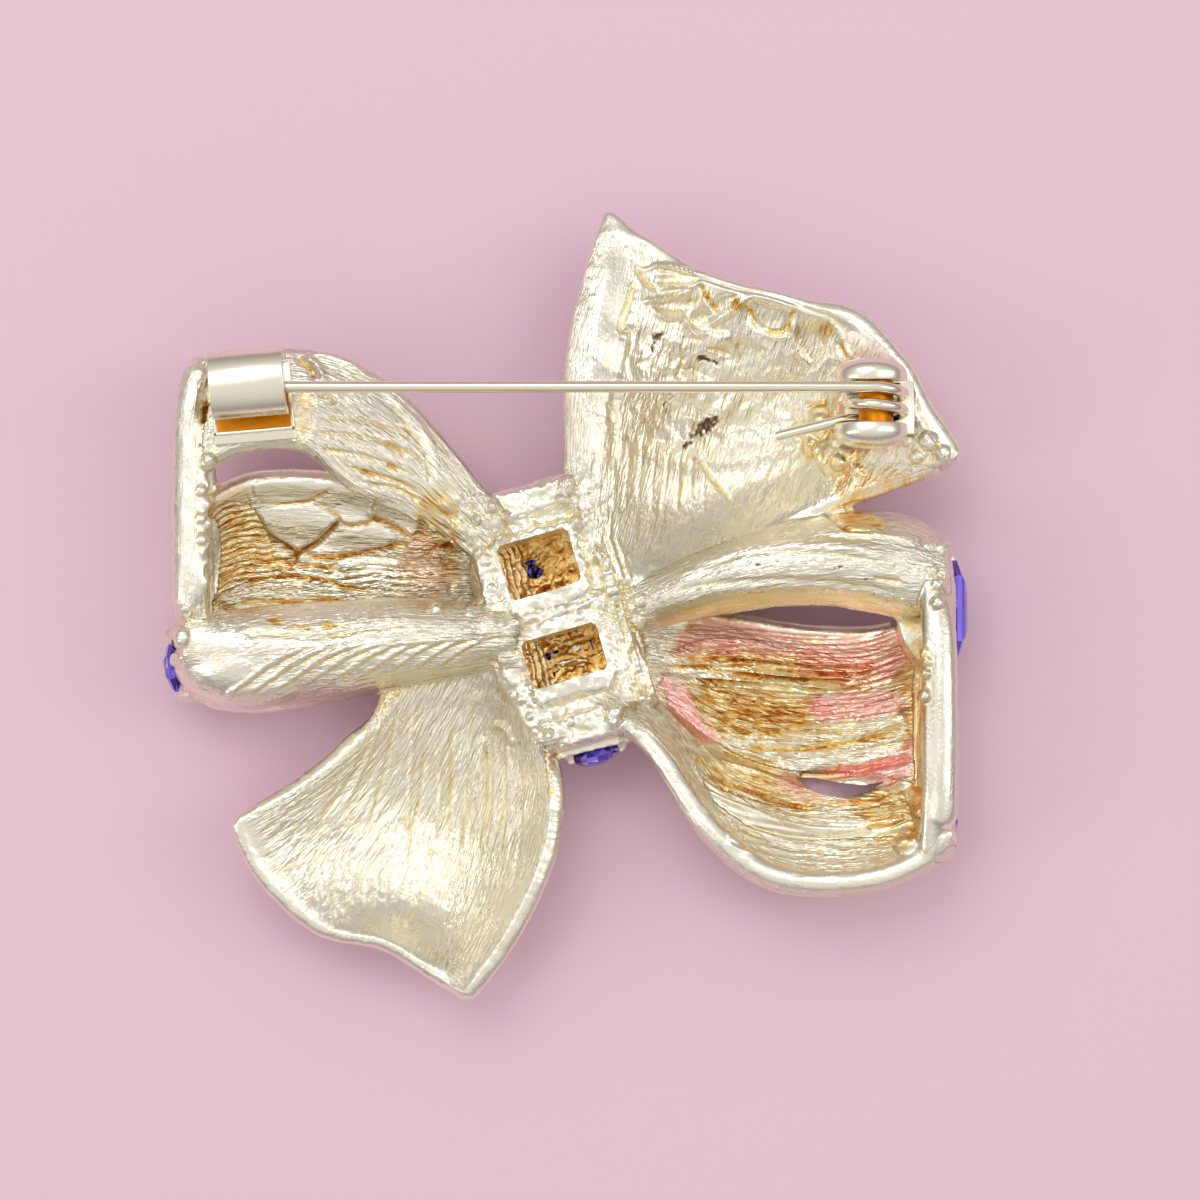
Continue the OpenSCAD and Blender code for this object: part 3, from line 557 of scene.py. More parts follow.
def swept(path, radii, sides=28, flat=1.0):
    """A closed tube along a path. Its section is flat times as deep as it is wide."""
    path = np.asarray(path, float)
    ahead = unit(np.gradient(path, axis=0))
    side = unit(np.cross(ahead[0], [0, 0, 1.0]))
    rings = []
    turns = circle(sides)
    for point, direction, radius in zip(path, ahead, radii):
        side = unit(side - direction * np.dot(side, direction))
        up = np.cross(direction, side)
        rings.append(point + radius * (np.cos(turns)[:, None] * side + flat * np.sin(turns)[:, None] * up))
    n = len(rings)
    verts = np.concatenate(rings + [path[:1], path[-1:]])
    index = np.arange(n * sides).reshape(n, sides)
    quads = np.stack([index[:-1], np.roll(index[:-1], -1, 1), np.roll(index[1:], -1, 1), index[1:]],
                     -1).reshape(-1, 4)
    first = np.stack([np.full(sides, n * sides), np.roll(index[0], -1), index[0]], -1)
    last = np.stack([np.full(sides, n * sides + 1), index[-1], np.roll(index[-1], -1)], -1)
    return verts, quads, np.concatenate([first, last])


for points, across, deep in ROLLS:
    path = curve_points(points, 8)
    ends = np.minimum(np.arange(len(path)), np.arange(len(path))[::-1])
    radii = across * np.sqrt(np.clip(ends / 5, 0.02, 1))
    bow.add(*swept(path, radii, 32, deep / across))
for block in BLOCKS:
    bow.add(*prism(*block))
for middle, radii in SWELLS:
    bow.add(BALL[0] * radii + middle, BALL[1])
moved = np.concatenate(bow.verts)
shift = np.zeros((len(moved), 2))
for place, move, reach in MOVES:
    far = np.hypot(moved[:, 0] - place[0], moved[:, 1] - place[1]) / reach
    shift += np.exp(-far ** 2)[:, None] * move
moved[:, :2] += shift
bow.verts = [moved]

cast = linked("cast_work", bow.mesh("cast_work"))
remesh = cast.modifiers.new("fuse", "REMESH")
remesh.mode = "VOXEL"
remesh.voxel_size = VOXEL
remesh.use_smooth_shade = True
applied(cast)

LOOKS_UP = 0.12


def refine(mesh):
    """Splits the faces that look up, which carry the finer marks."""
    bm = bmesh.new()
    bm.from_mesh(mesh)
    edges = {edge for face in bm.faces if face.normal.z > LOOKS_UP for edge in face.edges}
    bmesh.ops.subdivide_edges(bm, edges=list(edges), cuts=1, use_grid_fill=True)
    bm.to_mesh(mesh)
    bm.free()


refine(cast.data)


class Skin:
    """The fused surface as arrays, with its neighbours, for smoothing and for moving along its normals."""

    def __init__(self, mesh):
        self.mesh = mesh
        self.verts = read(mesh.vertices, "co", 3).astype(float)
        edges = read(mesh.edges, "vertices", 2, np.int32)
        self.a = np.concatenate([edges[:, 0], edges[:, 1]])
        self.b = np.concatenate([edges[:, 1], edges[:, 0]])
        self.degree = np.maximum(np.bincount(self.a, minlength=len(self.verts)), 1)

    def around(self, values):
        """Mean of the neighbours' values."""
        if values.ndim == 1:
            return np.bincount(self.a, values[self.b], len(self.verts)) / self.degree
        return np.stack([self.around(values[:, k]) for k in range(values.shape[1])], -1)

    def smoothed(self, values, rounds, amount=0.5):
        for _ in range(rounds):
            values = values + (self.around(values) - values) * amount
        return values

    def normals(self):
        """Gives the vertices to the mesh and returns their normals."""
        self.mesh.vertices.foreach_set("co", self.verts.astype(np.float32).reshape(-1))
        self.mesh.update()
        return read(self.mesh.vertex_normals, "vector", 3).astype(float)


def tree_of_points(points):
    tree = KDTree(len(points))
    for k, point in enumerate(points):
        tree.insert(point, k)
    tree.balance()
    return tree


# Smoothing in and out again takes off the fused surface's steps and keeps its volume
skin = Skin(cast.data)
for _ in range(6):
    skin.verts = skin.smoothed(skin.verts, 1, 0.6)
    skin.verts = skin.smoothed(skin.verts, 1, -0.42)
normal = skin.normals()

# Where each vertex lies on its nearest ribbon: s along the rows, v across them
owner, along_at, across_at, step_s, step_v = [], [], [], [], []
for number, grid in enumerate(grids):
    n, m = grid.shape[:2]
    owner.append(np.full(n * m, number))
    along_at.append(np.repeat(np.linspace(0, 1, n), m))
    across_at.append(np.tile(np.linspace(0, 1, m), n))
    step_s.append(np.gradient(grid, 1 / (n - 1), axis=0).reshape(-1, 3))
    step_v.append(np.gradient(grid, 1 / (m - 1), axis=1).reshape(-1, 3))
owner, along_at, across_at = np.concatenate(owner), np.concatenate(along_at), np.concatenate(across_at)
step_s, step_v = np.concatenate(step_s), np.concatenate(step_v)
points = np.concatenate([g.reshape(-1, 3) for g in grids])
tree = tree_of_points(points)
found = [tree.find(Vector(p)) for p in skin.verts]
near = np.array([f[1] for f in found])
distance = np.array([f[2] for f in found])
ribbon = owner[near]
offset = skin.verts - points[near]
ss = np.einsum("ij,ij->i", step_s[near], step_s[near])
vv = np.einsum("ij,ij->i", step_v[near], step_v[near])
sv = np.einsum("ij,ij->i", step_s[near], step_v[near])
so = np.einsum("ij,ij->i", step_s[near], offset)
vo = np.einsum("ij,ij->i", step_v[near], offset)
det = np.maximum(ss * vv - sv * sv, 1e-6)
s = np.clip(along_at[near] + (so * vv - vo * sv) / det, -0.02, 1.02)
v = np.clip(across_at[near] + (vo * ss - so * sv) / det, -0.02, 1.02)

flat = np.array([not row[6] for row in RIBBONS])[ribbon]
length = np.array([row[7] for row in RIBBONS], float)[ribbon]
width = np.array([row[8] for row in RIBBONS], float)[ribbon]
flow = np.where(flat, v * width, s * length)
cross = np.where(flat, s * length, v * width)

# Where the camera sees each vertex, on its grid: the marks below use these places
shrink = EYE_DISTANCE / (EYE_DISTANCE + TARGET[2] - skin.verts[:, 2])
seen_x = MIDDLE + (skin.verts[:, 0] - TARGET[0]) * shrink / STEP
seen_y = MIDDLE - (skin.verts[:, 1] + (skin.verts[:, 2] - TARGET[2]) * LEAN - TARGET[1]) * shrink / STEP
names = [row[0] for row in RIBBONS]
back = smoothstep(0.0, 0.35, normal[:, 2])
on = {n: (ribbon == k) * back for k, n in enumerate(names)}
count = len(skin.verts)
marked, amber, reflected_pink, dark, calm = (np.zeros(count) for _ in range(5))
ragged = 0.6 * noise2(seen_x / 8, seen_y / 8, 61) + 0.4 * noise2(seen_x / 3.5, seen_y / 3.5, 62)


class Marks:
    """Marks on some ribbons: creases, hollows, leaves, and areas of painted shade and painted reflection."""

    def __init__(self, *ribbons):
        where = sum(on[n] for n in ribbons)
        self.index = np.flatnonzero(where > 0.02)
        self.x, self.y, self.weight = seen_x[self.index], seen_y[self.index], where[self.index]

    def near(self, path, margin):
        low, high = path.min(0) - margin, path.max(0) + margin
        return np.flatnonzero((self.x > low[0]) & (self.x < high[0]) & (self.y > low[1]) & (self.y < high[1]))

    def within(self, x, y, reach):
        """Which vertices are near a place."""
        return self.near(np.array([[x, y]], float), reach)

    def distances(self, path, at):
        """Distance to the path's nearest segment, and how far along the path that is."""
        x, y = self.x[at], self.y[at]
        best, where = np.full(len(at), 1e9), np.zeros(len(at))
        for k, (a, b) in enumerate(zip(path[:-1], path[1:])):
            d = b - a
            t = np.clip(((x - a[0]) * d[0] + (y - a[1]) * d[1]) / max(d @ d, 1e-9), 0, 1)
            far = np.hypot(x - a[0] - t * d[0], y - a[1] - t * d[1])
            closer = far < best
            best = np.where(closer, far, best)
            where = np.where(closer, (k + t) / (len(path) - 1), where)
        return best, where

    def line(self, points, width, depth, tint=0.0, fade=6):
        """A crease along a curve (a ridge, where depth is above 0), which fades at its ends."""
        path = curve_points([[x, y, 0] for x, y in points], 4)[:, :2]
        at = self.near(path, 3 * width)
        best, where = self.distances(path, at)
        ends = np.clip(np.minimum(where, 1 - where) * fade, 0, 1)
        shape = ends * np.exp(-(best / width) ** 2) * self.weight[at]
        marked[self.index[at]] += depth * shape
        # Deeper gold painted along the crease: painted shade and gold-on-gold reflection
        amber[self.index[at]] += 0.6 * tint * ends * np.exp(-(best / (0.72 * width)) ** 2) * self.weight[at]

    def oval_share(self, x, y, length, width, angle, at, power):
        """1 in the middle of an oval, falling to 0 outside it."""
        a = math.radians(angle)
        dx, dy = self.x[at] - x, y - self.y[at]
        along, over = dx * math.cos(a) + dy * math.sin(a), -dx * math.sin(a) + dy * math.cos(a)
        return np.exp(-((along / length * 2) ** 2 + (over / width * 2) ** 2) ** power)

    def dent(self, x, y, length, width, angle, depth, power=1.0):
        """A smooth hollow (or a swelling, where depth is above 0), flatter with a higher power."""
        at = self.within(x, y, max(length, width) * 1.5)
        share = self.oval_share(x, y, length, width, angle, at, power)
        marked[self.index[at]] += depth * share * self.weight[at]

    def inside(self, outline, soft, margin=2):
        """Distance to a closed outline, above 0 inside it, and which vertices are near it."""
        ring = [[x, y, 0] for x, y in outline]
        path = curve_points(ring + ring[:1], 4)[:, :2]
        at = self.near(path, margin + soft)
        best, _ = self.distances(path, at)
        x, y = self.x[at], self.y[at]
        within = np.zeros(len(at), bool)
        for a, b in zip(path[:-1], path[1:]):
            crosses = (a[1] > y) != (b[1] > y)
            within ^= crosses & (x < (b[0] - a[0]) * (y - a[1]) / (b[1] - a[1] + 1e-12) + a[0])
        return np.where(within, best, -best), at

    def leaf(self, outline, tall, tilt=(0, 0), edge=4.0, quiet=0.85):
        """A raised leaf with a crisp edge, quiet inside, and a slope of its own."""
        depth_in, at = self.inside(outline, 1)
        rise = smoothstep(-0.5, edge, depth_in) * self.weight[at]
        middle = np.mean(outline, axis=0)
        slope = (self.x[at] - middle[0]) * tilt[0] + (self.y[at] - middle[1]) * (tilt[1] + 0.018)
        marked[self.index[at]] += rise * (tall + 0.45 * slope)
        calm[self.index[at]] = np.maximum(calm[self.index[at]], quiet * rise)

    def area(self, outline, amount=0.0, pink_reflection=0.0, painted_shade=0.0, quiet=0.0, soft=5.0):
        """An area with a ragged edge, painted: deeper gold for painted shade and gold-on-gold reflection, pink
        for a painted reflection, darker for painted shade; its grain can also be made quieter.
        """
        depth_in, at = self.inside(outline, soft, 6)
        spread = smoothstep(-1.2 * soft, 1.2 * soft,
                            depth_in + 1.5 * soft * ragged[self.index[at]]) * self.weight[at]
        index = self.index[at]
        amber[index] = np.maximum(amber[index], amount * spread)
        reflected_pink[index] = np.maximum(reflected_pink[index], pink_reflection * spread)
        dark[index] = np.maximum(dark[index], painted_shade * spread)
        calm[index] = np.maximum(calm[index], quiet * spread)

    def specks(self, x, y, length, width, angle, amount):
        """A group of small dark pits."""
        at = self.within(x, y, max(length, width))
        spread = self.oval_share(x, y, length, width, angle, at, 1.5)
        px, py = self.x[at] / 2.6, self.y[at] / 2.6
        hole = smoothstep(0.66, 1.05, spread * amount + 0.6 * noise2(px, py, 71)) * self.weight[at]
        dark[self.index[at]] = np.maximum(dark[self.index[at]], hole)
        marked[self.index[at]] -= 0.12 * hole


def oval(x, y, length, width, angle=0, points=12):
    turns = circle(points)
    a = math.radians(angle)
    u, w = length / 2 * np.cos(turns), width / 2 * np.sin(turns)
    return np.stack([x + u * math.cos(a) - w * math.sin(a), y - u * math.sin(a) - w * math.cos(a)], -1).tolist()


# Left loop, front layer: leaves (outline, height, slope), creases (points, width, depth, amber of painted
# shade), and areas of painted shade and reflection
front = Marks("left_front_layer")
for outline, tall_at, tilt in [
        ([[250, 484], [262, 479], [280, 478], [305, 482], [330, 487], [318, 494], [309, 499], [290, 502],
         [262, 501]], 0.14, (0, 0.004)),
        ([[253, 507], [272, 503], [309, 501], [327, 508], [339, 518], [333, 525], [323, 535], [309, 545],
         [297, 551], [287, 544], [270, 534], [260, 520]], 0.34, (0.002, -0.002)),
        ([[327, 506], [345, 498], [369, 494], [374, 508], [373, 519], [355, 524], [342, 522], [338, 515]],
         0.22, (0.003, 0.002)),
        ([[300, 551], [312, 543], [323, 536], [349, 527], [373, 522], [385, 525], [397, 535], [390, 544],
         [380, 547], [364, 550], [346, 553], [318, 556]], 0.3, (-0.001, 0.003)),
        ([[370, 501], [395, 503], [421, 508], [419, 522], [417, 532], [408, 536], [396, 527], [380, 520],
         [367, 513]], 0.2, (0.006, -0.006)),
        ([[335, 562], [358, 556], [395, 555], [401, 561], [394, 571], [378, 574], [352, 570]], 0.18,
         (0.0, 0.003))]:
    front.leaf(outline, tall_at, tilt)
for points, wide, depth, tint in [
        ([(341, 517), (333, 526), (323, 536), (309, 546), (297, 553), (292, 564)], 2.8, -0.3, 1.0),
        ([(266, 533), (276, 540), (287, 546), (298, 554)], 3.2, -0.25, 1.1),
        ([(266, 504), (290, 503), (309, 500), (320, 495), (332, 487)], 2.0, -0.18, 0.7),
        ([(339, 521), (350, 526), (372, 521), (384, 521)], 2.0, -0.16, 0.5),
        ([(364, 514), (384, 521), (400, 529), (412, 538)], 2.8, -0.26, 1.1),
        ([(300, 555), (330, 558), (346, 555), (364, 552), (382, 549), (400, 546)], 2.4, -0.24, 0.9),
        ([(232, 586), (252, 580), (272, 578), (318, 579), (349, 588), (380, 587)], 2.4, -0.26, 0.9),
        ([(226, 608), (246, 602), (272, 601), (303, 601), (333, 599), (349, 604), (372, 605)], 2.2, -0.2, 0.8),
        ([(240, 572), (262, 562), (285, 563), (300, 566), (330, 568), (350, 576)], 2.2, -0.2, 0.8),
        ([(204, 600), (226, 607), (241, 617), (272, 623), (303, 628), (333, 625), (364, 618), (420, 613)],
         4, -0.34, 1.1),
        ([(384, 548), (396, 545), (408, 546)], 3, -0.2, 1.1)]:
    front.line(points, wide, depth, tint)
for k in range(7):
    y = 569 + k * 6.5
    front.line([(252, y + 3), (290, y - 3), (330, y + 2), (372, y - 2), (412, y + 2), (436, y - 3)],
        2.0, 0.12, 0)
front.area([[206, 505], [222, 500], [246, 506], [256, 520], [268, 536], [280, 552], [276, 574], [240, 586],
    [207, 600]], 0.5, 0.02, soft=7)
front.area([[206, 486], [226, 481], [246, 484], [250, 500], [228, 508], [207, 512]], 0.35, 0.1, quiet=0.6)
front.area([[402, 540], [424, 532], [440, 545], [450, 560], [452, 585], [436, 592], [415, 580], [400, 572]],
    0.3, 0.3)
front.area([[440, 556], [456, 552], [458, 580], [444, 586]], 0.7, 0.05)
front.area([[284, 553], [296, 552], [299, 566], [288, 572]], 1.0, 0.2)
front.area([[414, 580], [440, 584], [440, 612], [404, 612], [390, 600]], 0.2, 0.2)

# Left loop, upper arm, with painted shade and reflection in its creases and beside the catch
arm = Marks("left_upper_arm")
for points, wide, depth, tint in [
        ([(296, 353), (300, 360), (308, 366), (313, 378)], 2.2, -0.25, 0.3),
        ([(302, 352), (312, 361), (320, 372), (322, 382)], 3.2, 0.25, 0),
        ([(306, 351), (333, 357), (350, 364), (364, 374)], 2.6, 0.22, 0),
        ([(385, 390), (403, 410), (417, 424), (429, 441), (436, 462), (440, 486)], 3.4, 0.16, 0),
        ([(374, 390), (396, 412), (410, 428), (420, 446), (426, 466), (430, 490)], 3.8, -0.08, 0),
        ([(316, 396), (329, 394), (334, 400), (326, 402)], 2.0, -0.2, 0.2),
        ([(312, 417), (353, 418), (387, 427), (418, 441)], 2.2, -0.14, 0.2),
        ([(310, 433), (345, 433), (377, 440), (412, 453), (424, 463)], 2.2, -0.16, 0.25),
        ([(312, 448), (353, 453), (387, 463), (420, 478)], 2.2, -0.16, 0.3),
        ([(342, 466), (370, 472), (403, 483), (420, 495)], 2.2, -0.18, 0.7),
        ([(362, 482), (395, 488), (420, 501)], 2.2, -0.18, 0.7),
        ([(395, 423), (404, 428), (412, 436)], 2.2, -0.1, 0.9),
        ([(385, 440), (396, 447), (408, 456)], 2.2, -0.1, 0.9),
        ([(386, 464), (392, 467), (398, 472)], 2.6, -0.1, 1.1),
        ([(362, 473), (370, 474), (378, 478)], 2.8, -0.1, 1.1)]:
    arm.line(points, wide, depth, tint)
arm.area([[296, 392], [309, 392], [310, 425], [304, 440], [296, 438]], 0.5, quiet=0.8)
arm.leaf([[368, 500], [395, 503], [421, 508], [419, 522], [417, 534], [408, 536], [396, 527], [380, 520],
    [366, 512]], 0.16, (0.006, -0.006))

# The bright lines that run together at the knot, with deeper gold painted between them and in spots below as
# painted shade
burst = Marks("left_upper_arm", "left_front_layer", "left_lower_arm")
for k in range(10):
    a = math.radians(128 + k * 9)
    reach = 44 + 6 * (k % 2)
    middle = np.array([452, 556 - 2.0 * k])
    end = middle + reach * np.array([math.cos(a), -math.sin(a)])
    burst.line([tuple(middle), tuple(mix(middle, end, 0.5) + [2, -2]), tuple(end)], 1.9, 0.16, 0)
    shifted = end + [3.2, -0.8]
    burst.line([tuple(middle + [3, 0]), tuple(shifted)], 1.6, -0.16, 0.9)
burst.area([[420, 492], [440, 488], [452, 500], [460, 530], [458, 560], [446, 566], [432, 540], [418, 530]],
    0.6)
for x, y, size in [(330, 626, 18), (300, 628, 22), (276, 622, 14)]:
    burst.area(oval(x, y, size, 6, -4), 1.0, soft=2)

# Left loop, lower arm
lower = Marks("left_lower_arm")
for k in range(9):
    x = 216 + k * 27
    lower.line([(x, 700 - k * 4), (x + 26, 684 - k * 4), (x + 58, 660 - k * 3), (x + 96, 644 - k)],
        2.4, 0.13, 0)
    lower.line([(x + 10, 700 - k * 4), (x + 36, 682 - k * 4), (x + 68, 661 - k * 3), (x + 104, 646 - k)],
        1.8, -0.08, 0.15)
lower.dent(222, 660, 70, 60, 30, 0.2, 1.5)
lower.area([[176, 622], [204, 616], [240, 628], [246, 668], [226, 700], [190, 706], [176, 680]], quiet=0.75,
    soft=8)
lower.line([(240, 634), (272, 634), (320, 638), (360, 630), (420, 624)], 3, -0.12, 0.3)

# Both end folds: a crease with painted shade on the left one, painted shade over all of the right one, which
# faces a little sideways, and deeper gold painted along its inner edge
bands = Marks("left_end_fold", "right_end_fold")
bands.line([(204, 404), (208, 414), (205, 424)], 4.5, -0.4, 1.3)
bands.area(oval(204, 413, 11, 24, 5), 1.1, painted_shade=0.35, soft=3)
bands.area([[908, 592], [962, 590], [962, 852], [904, 852]], painted_shade=0.13, quiet=0.8, soft=4)
bands.area([[904, 640], [918, 640], [918, 822], [904, 822]], 0.8, soft=2)

# Right loop: upper arm and the two layers of the bowl, with areas of painted shade, painted gold reflection and
# painted pink reflection
ridge = Marks("right_upper_arm")
for points, wide, depth, tint in [
        ([(668, 590), (690, 572), (730, 554), (790, 546), (850, 548), (905, 556)], 7, 0.2, 0),
        ([(672, 594), (700, 585), (740, 582), (800, 580), (860, 586), (905, 596)], 4, -0.16, 0.1),
        ([(690, 560), (730, 543), (780, 536), (840, 537), (900, 541)], 3, -0.1, 0),
        ([(872, 578), (888, 580), (902, 582)], 2.6, -0.16, 0.3),
        ([(820, 534), (850, 534), (900, 538), (918, 546)], 3, 0.15, 0),
        ([(822, 512), (838, 522), (852, 530), (878, 530)], 2.4, -0.2, 0.5),
        ([(690, 572), (760, 553), (830, 553), (890, 562)], 1.8, -0.1, 0.2)]:
    ridge.line(points, wide, depth, tint)
ridge.area([[832, 511], [848, 509], [868, 514], [882, 526], [866, 531], [846, 528]], 1.0, quiet=0.7, soft=4)
ridge.area([[652, 612], [690, 600], [735, 592], [800, 589], [860, 594], [900, 602], [920, 618], [922, 636],
    [905, 628], [860, 612], [800, 610], [735, 612], [690, 622], [660, 634]], 0.36, quiet=0.9, soft=3)
for x, y, size, turn in [(762, 564, 18, 8), (780, 562, 20, -6), (836, 568, 18, 4), (866, 578, 10, 0)]:
    ridge.specks(x, y, size, 6, turn, 0.74)

bowl = Marks("right_front_layer", "right_lower_side")
for points, wide, depth, tint in [
        ([(668, 655), (690, 646), (712, 641), (740, 641), (772, 645)], 2.4, -0.24, 0.7),
        ([(662, 664), (700, 662), (740, 667), (790, 673), (840, 674), (880, 662)], 2.2, 0.2, 0),
        ([(664, 672), (700, 672), (740, 677), (790, 683), (836, 684), (872, 672)], 2.2, 0.24, 0),
        ([(690, 681), (730, 684), (780, 690), (830, 690)], 2.0, 0.18, 0),
        ([(664, 668), (700, 667), (740, 672), (790, 678), (836, 679), (876, 667)], 1.6, -0.2, 0.6),
        ([(690, 677), (730, 680), (780, 687), (830, 688)], 1.6, -0.2, 0.6),
        ([(684, 692), (720, 695), (760, 700), (810, 702)], 2.0, 0.14, 0),
        ([(684, 704), (720, 708), (760, 714), (810, 712)], 2.0, 0.14, 0),
        ([(720, 722), (760, 726), (800, 724), (850, 716), (890, 708)], 2.0, 0.16, 0),
        ([(740, 742), (790, 744), (840, 737), (880, 728), (906, 718)], 2.6, 0.2, 0),
        ([(756, 752), (800, 754), (845, 750), (885, 741), (908, 732)], 2.6, 0.2, 0),
        ([(740, 747), (790, 750), (845, 743), (885, 734), (908, 725)], 2.0, -0.2, 0.5),
        ([(660, 728), (700, 742), (745, 752), (795, 768)], 2.2, 0.16, 0),
        ([(664, 740), (704, 755), (748, 768), (796, 786), (850, 800), (905, 795)], 2.2, 0.16, 0),
        ([(672, 754), (710, 770), (752, 784), (800, 802), (850, 812), (900, 806)], 2.2, 0.14, 0),
        ([(690, 784), (730, 802), (770, 818), (820, 830), (870, 828)], 2.2, 0.12, 0),
        ([(700, 806), (740, 826), (790, 842), (840, 848)], 2.2, 0.12, 0),
        ([(697, 764), (730, 776), (770, 790), (800, 800)], 1.8, -0.16, 1.0),
        ([(704, 775), (740, 788), (776, 800), (806, 808)], 1.8, -0.14, 0.9),
        ([(716, 757), (750, 766), (786, 776)], 1.8, -0.14, 0.9),
        ([(850, 804), (880, 800), (908, 786)], 2.0, -0.16, 1.0),
        ([(860, 818), (886, 812), (910, 800)], 2.0, -0.16, 0.9),
        ([(866, 830), (890, 826), (908, 816)], 2.0, -0.14, 0.9),
        ([(795, 776), (815, 775), (850, 771), (885, 764), (912, 757)], 4.0, -0.5, 0.3),
        ([(797, 778), (830, 792), (865, 790), (905, 774)], 3.0, -0.3, 0.3)]:
    bowl.line(points, wide, depth, tint, 10)
bowl.area([[690, 612], [712, 614], [742, 622], [752, 632], [720, 632], [694, 634], [684, 626]],
    1.1, 0.1, 0.35, soft=4)
bowl.area([[666, 650], [690, 640], [740, 636], [800, 640], [780, 650], [720, 648], [680, 658]],
    0.4, 0.6, 0.2, soft=4)
bowl.area([[700, 628], [760, 632], [810, 636], [800, 644], [740, 640], [706, 638]], 0.2, 0.7, soft=4)
bowl.area([[799, 634], [850, 638], [895, 630], [915, 640], [900, 668], [870, 690], [830, 676], [800, 668]],
    0.5, 0.45)
bowl.area([[686, 688], [730, 686], [790, 692], [816, 700], [806, 722], [760, 736], [720, 738], [690, 712]],
    0.72, 0.0)
bowl.area([[664, 676], [684, 686], [696, 712], [716, 738], [696, 738], [672, 712], [660, 690]],
    0.2, 1.0, quiet=0.6)
bowl.area([[672, 644], [700, 622], [760, 628], [830, 636], [905, 630], [912, 652], [892, 680], [860, 672],
    [800, 656], [720, 652], [690, 652]], 0.35, 0.75, quiet=0.2, soft=5)
bowl.area([[700, 640], [800, 650], [860, 648], [866, 656], [800, 660], [720, 654], [692, 650]],
    0.7, 0.1, soft=3)
bowl.area([[698, 618], [740, 621], [766, 632], [744, 640], [706, 637]], 0.9, 0.8, 0.3, soft=3)
for k in range(5):
    y = 656 + k * 7
    bowl.line([(668, y - 2), (730, y - 1), (790, y + 4), (850, y + 6), (898, y - 4)], 1.8, 0.26, 0.15)
    bowl.line([(670, y + 3), (730, y + 3), (790, y + 8), (850, y + 10), (890, y + 2)], 1.4, -0.1, 0.45)
for k in range(4):
    y = 700 + k * 9
    bowl.line([(700 + 5 * k, y), (750, y + 3), (800, y + 5), (850 + 8 * k, y)], 1.5, 0.2, 0.2)
bowl.area([[896, 634], [924, 628], [926, 836], [908, 832], [910, 760], [898, 700], [888, 668]],
    1.0, 0.0, soft=4)
for k in range(9):
    y = 630 + k * 4.2
    bowl.line([(702 + 6 * (k % 3), y + 2), (748, y + 1), (800, y + 6), (850 + 9 * (k % 4), y + 7)],
        1.3, -0.1, 1.2)
for k in range(8):
    y = 634 + k * 4.6
    bowl.line([(690, y + 10), (740, y + 5), (800, y + 8), (860, y + 7), (905, y - 6)], 1.4, 0.13, 0)
for k in range(11):
    y = 690 + k * 4.6
    bowl.line([(682 + k * 3, y), (730, y + 3), (790, y + 6), (860, y + 2), (900, y - 6)], 1.5, 0.1, 0)
for k in range(10):
    y = 762 + k * 7
    bowl.line([(676 + k * 8, y), (730, y + 20), (790, y + 34), (850, y + 38), (900 - k * 3, y + 28)],
        1.7, 0.08, 0)
bowl.area([[816, 694], [856, 690], [896, 690], [900, 712], [870, 718], [826, 722], [808, 712]], 0.3, 0.85)
bowl.area([[697, 757], [740, 756], [800, 776], [820, 800], [800, 812], [750, 800], [706, 780]], 0.62, 0.0)
bowl.area([[846, 798], [905, 790], [914, 812], [905, 842], [880, 840], [860, 820]], 0.62, 0.0)
bowl.area([[776, 770], [800, 776], [812, 794], [850, 802], [800, 798], [778, 786]], 0.2, 0.7)
bowl.area([[812, 772], [860, 762], [914, 750], [916, 772], [880, 784], [850, 776]], 0.25, 0.9, quiet=0.5,
    soft=4)

# Right side, where the bowl's layers meet the end fold: painted shade and reflection in the corner
wall_side = Marks("right_front_layer", "right_lower_side", "right_end_fold")
wall_side.area([[917, 636], [924, 640], [925, 700], [922, 760], [918, 800], [904, 846], [896, 840], [912, 800],
    [912, 760], [904, 720], [892, 700], [891, 688], [903, 666]], 0.75, 0.1, quiet=0.6, soft=4)
wall_side.area(oval(909, 744, 14, 16, 60), 1.3, 0.6, soft=3)
wall_side.area(oval(903, 712, 14, 10, 0), 1.0, 0.4, 0.6, soft=3)

# Lower tail: ridges (above 0) and grooves that run down it, and its areas of painted shade and reflection
lower_tail = Marks("lower_tail")
for points, wide, depth in [
        ([(415, 698), (412, 760), (406, 850)], 2.2, 0.13), ([(428, 745), (421, 790), (408, 871)], 2.4, -0.13),
        ([(438, 740), (441, 790), (438, 840)], 2.2, 0.14), ([(452, 720), (452, 790), (447, 850)], 2.4, -0.12),
        ([(469, 725), (470, 790), (464, 860)], 2.4, 0.15), ([(485, 742), (484, 800), (476, 862)], 2.4, -0.14),
        ([(496, 744), (496, 800), (490, 850)], 2.2, 0.14), ([(508, 732), (511, 800), (507, 870)], 2.6, 0.16),
        ([(520, 760), (521, 820), (514, 890)], 2.4, -0.12), ([(400, 700), (388, 760), (370, 830)], 2.2, -0.12),
        ([(385, 709), (364, 767), (340, 815)], 2.2, 0.13), ([(372, 740), (348, 785), (318, 822)], 2.2, -0.1),
        ([(493, 724), (507, 729), (514, 746)], 3.0, 0.2), ([(430, 880), (420, 900), (404, 925)], 2.2, -0.08)]:
    lower_tail.line(points, wide, depth, 0.08)
lower_tail.area([[368, 694], [392, 676], [424, 666], [452, 668], [448, 682], [416, 690], [392, 702],
    [376, 712]], 0.5, soft=4)
lower_tail.area([[546, 752], [555, 752], [553, 790], [549, 796]], 0.6, 0.1, 0.1, soft=2)
lower_tail.area([[332, 922], [368, 902], [404, 896], [450, 902], [444, 930], [420, 958], [380, 950]],
    quiet=0.5, soft=7)
lower_tail.area(oval(402, 822, 8, 8), 0.35, 0.2, soft=4)
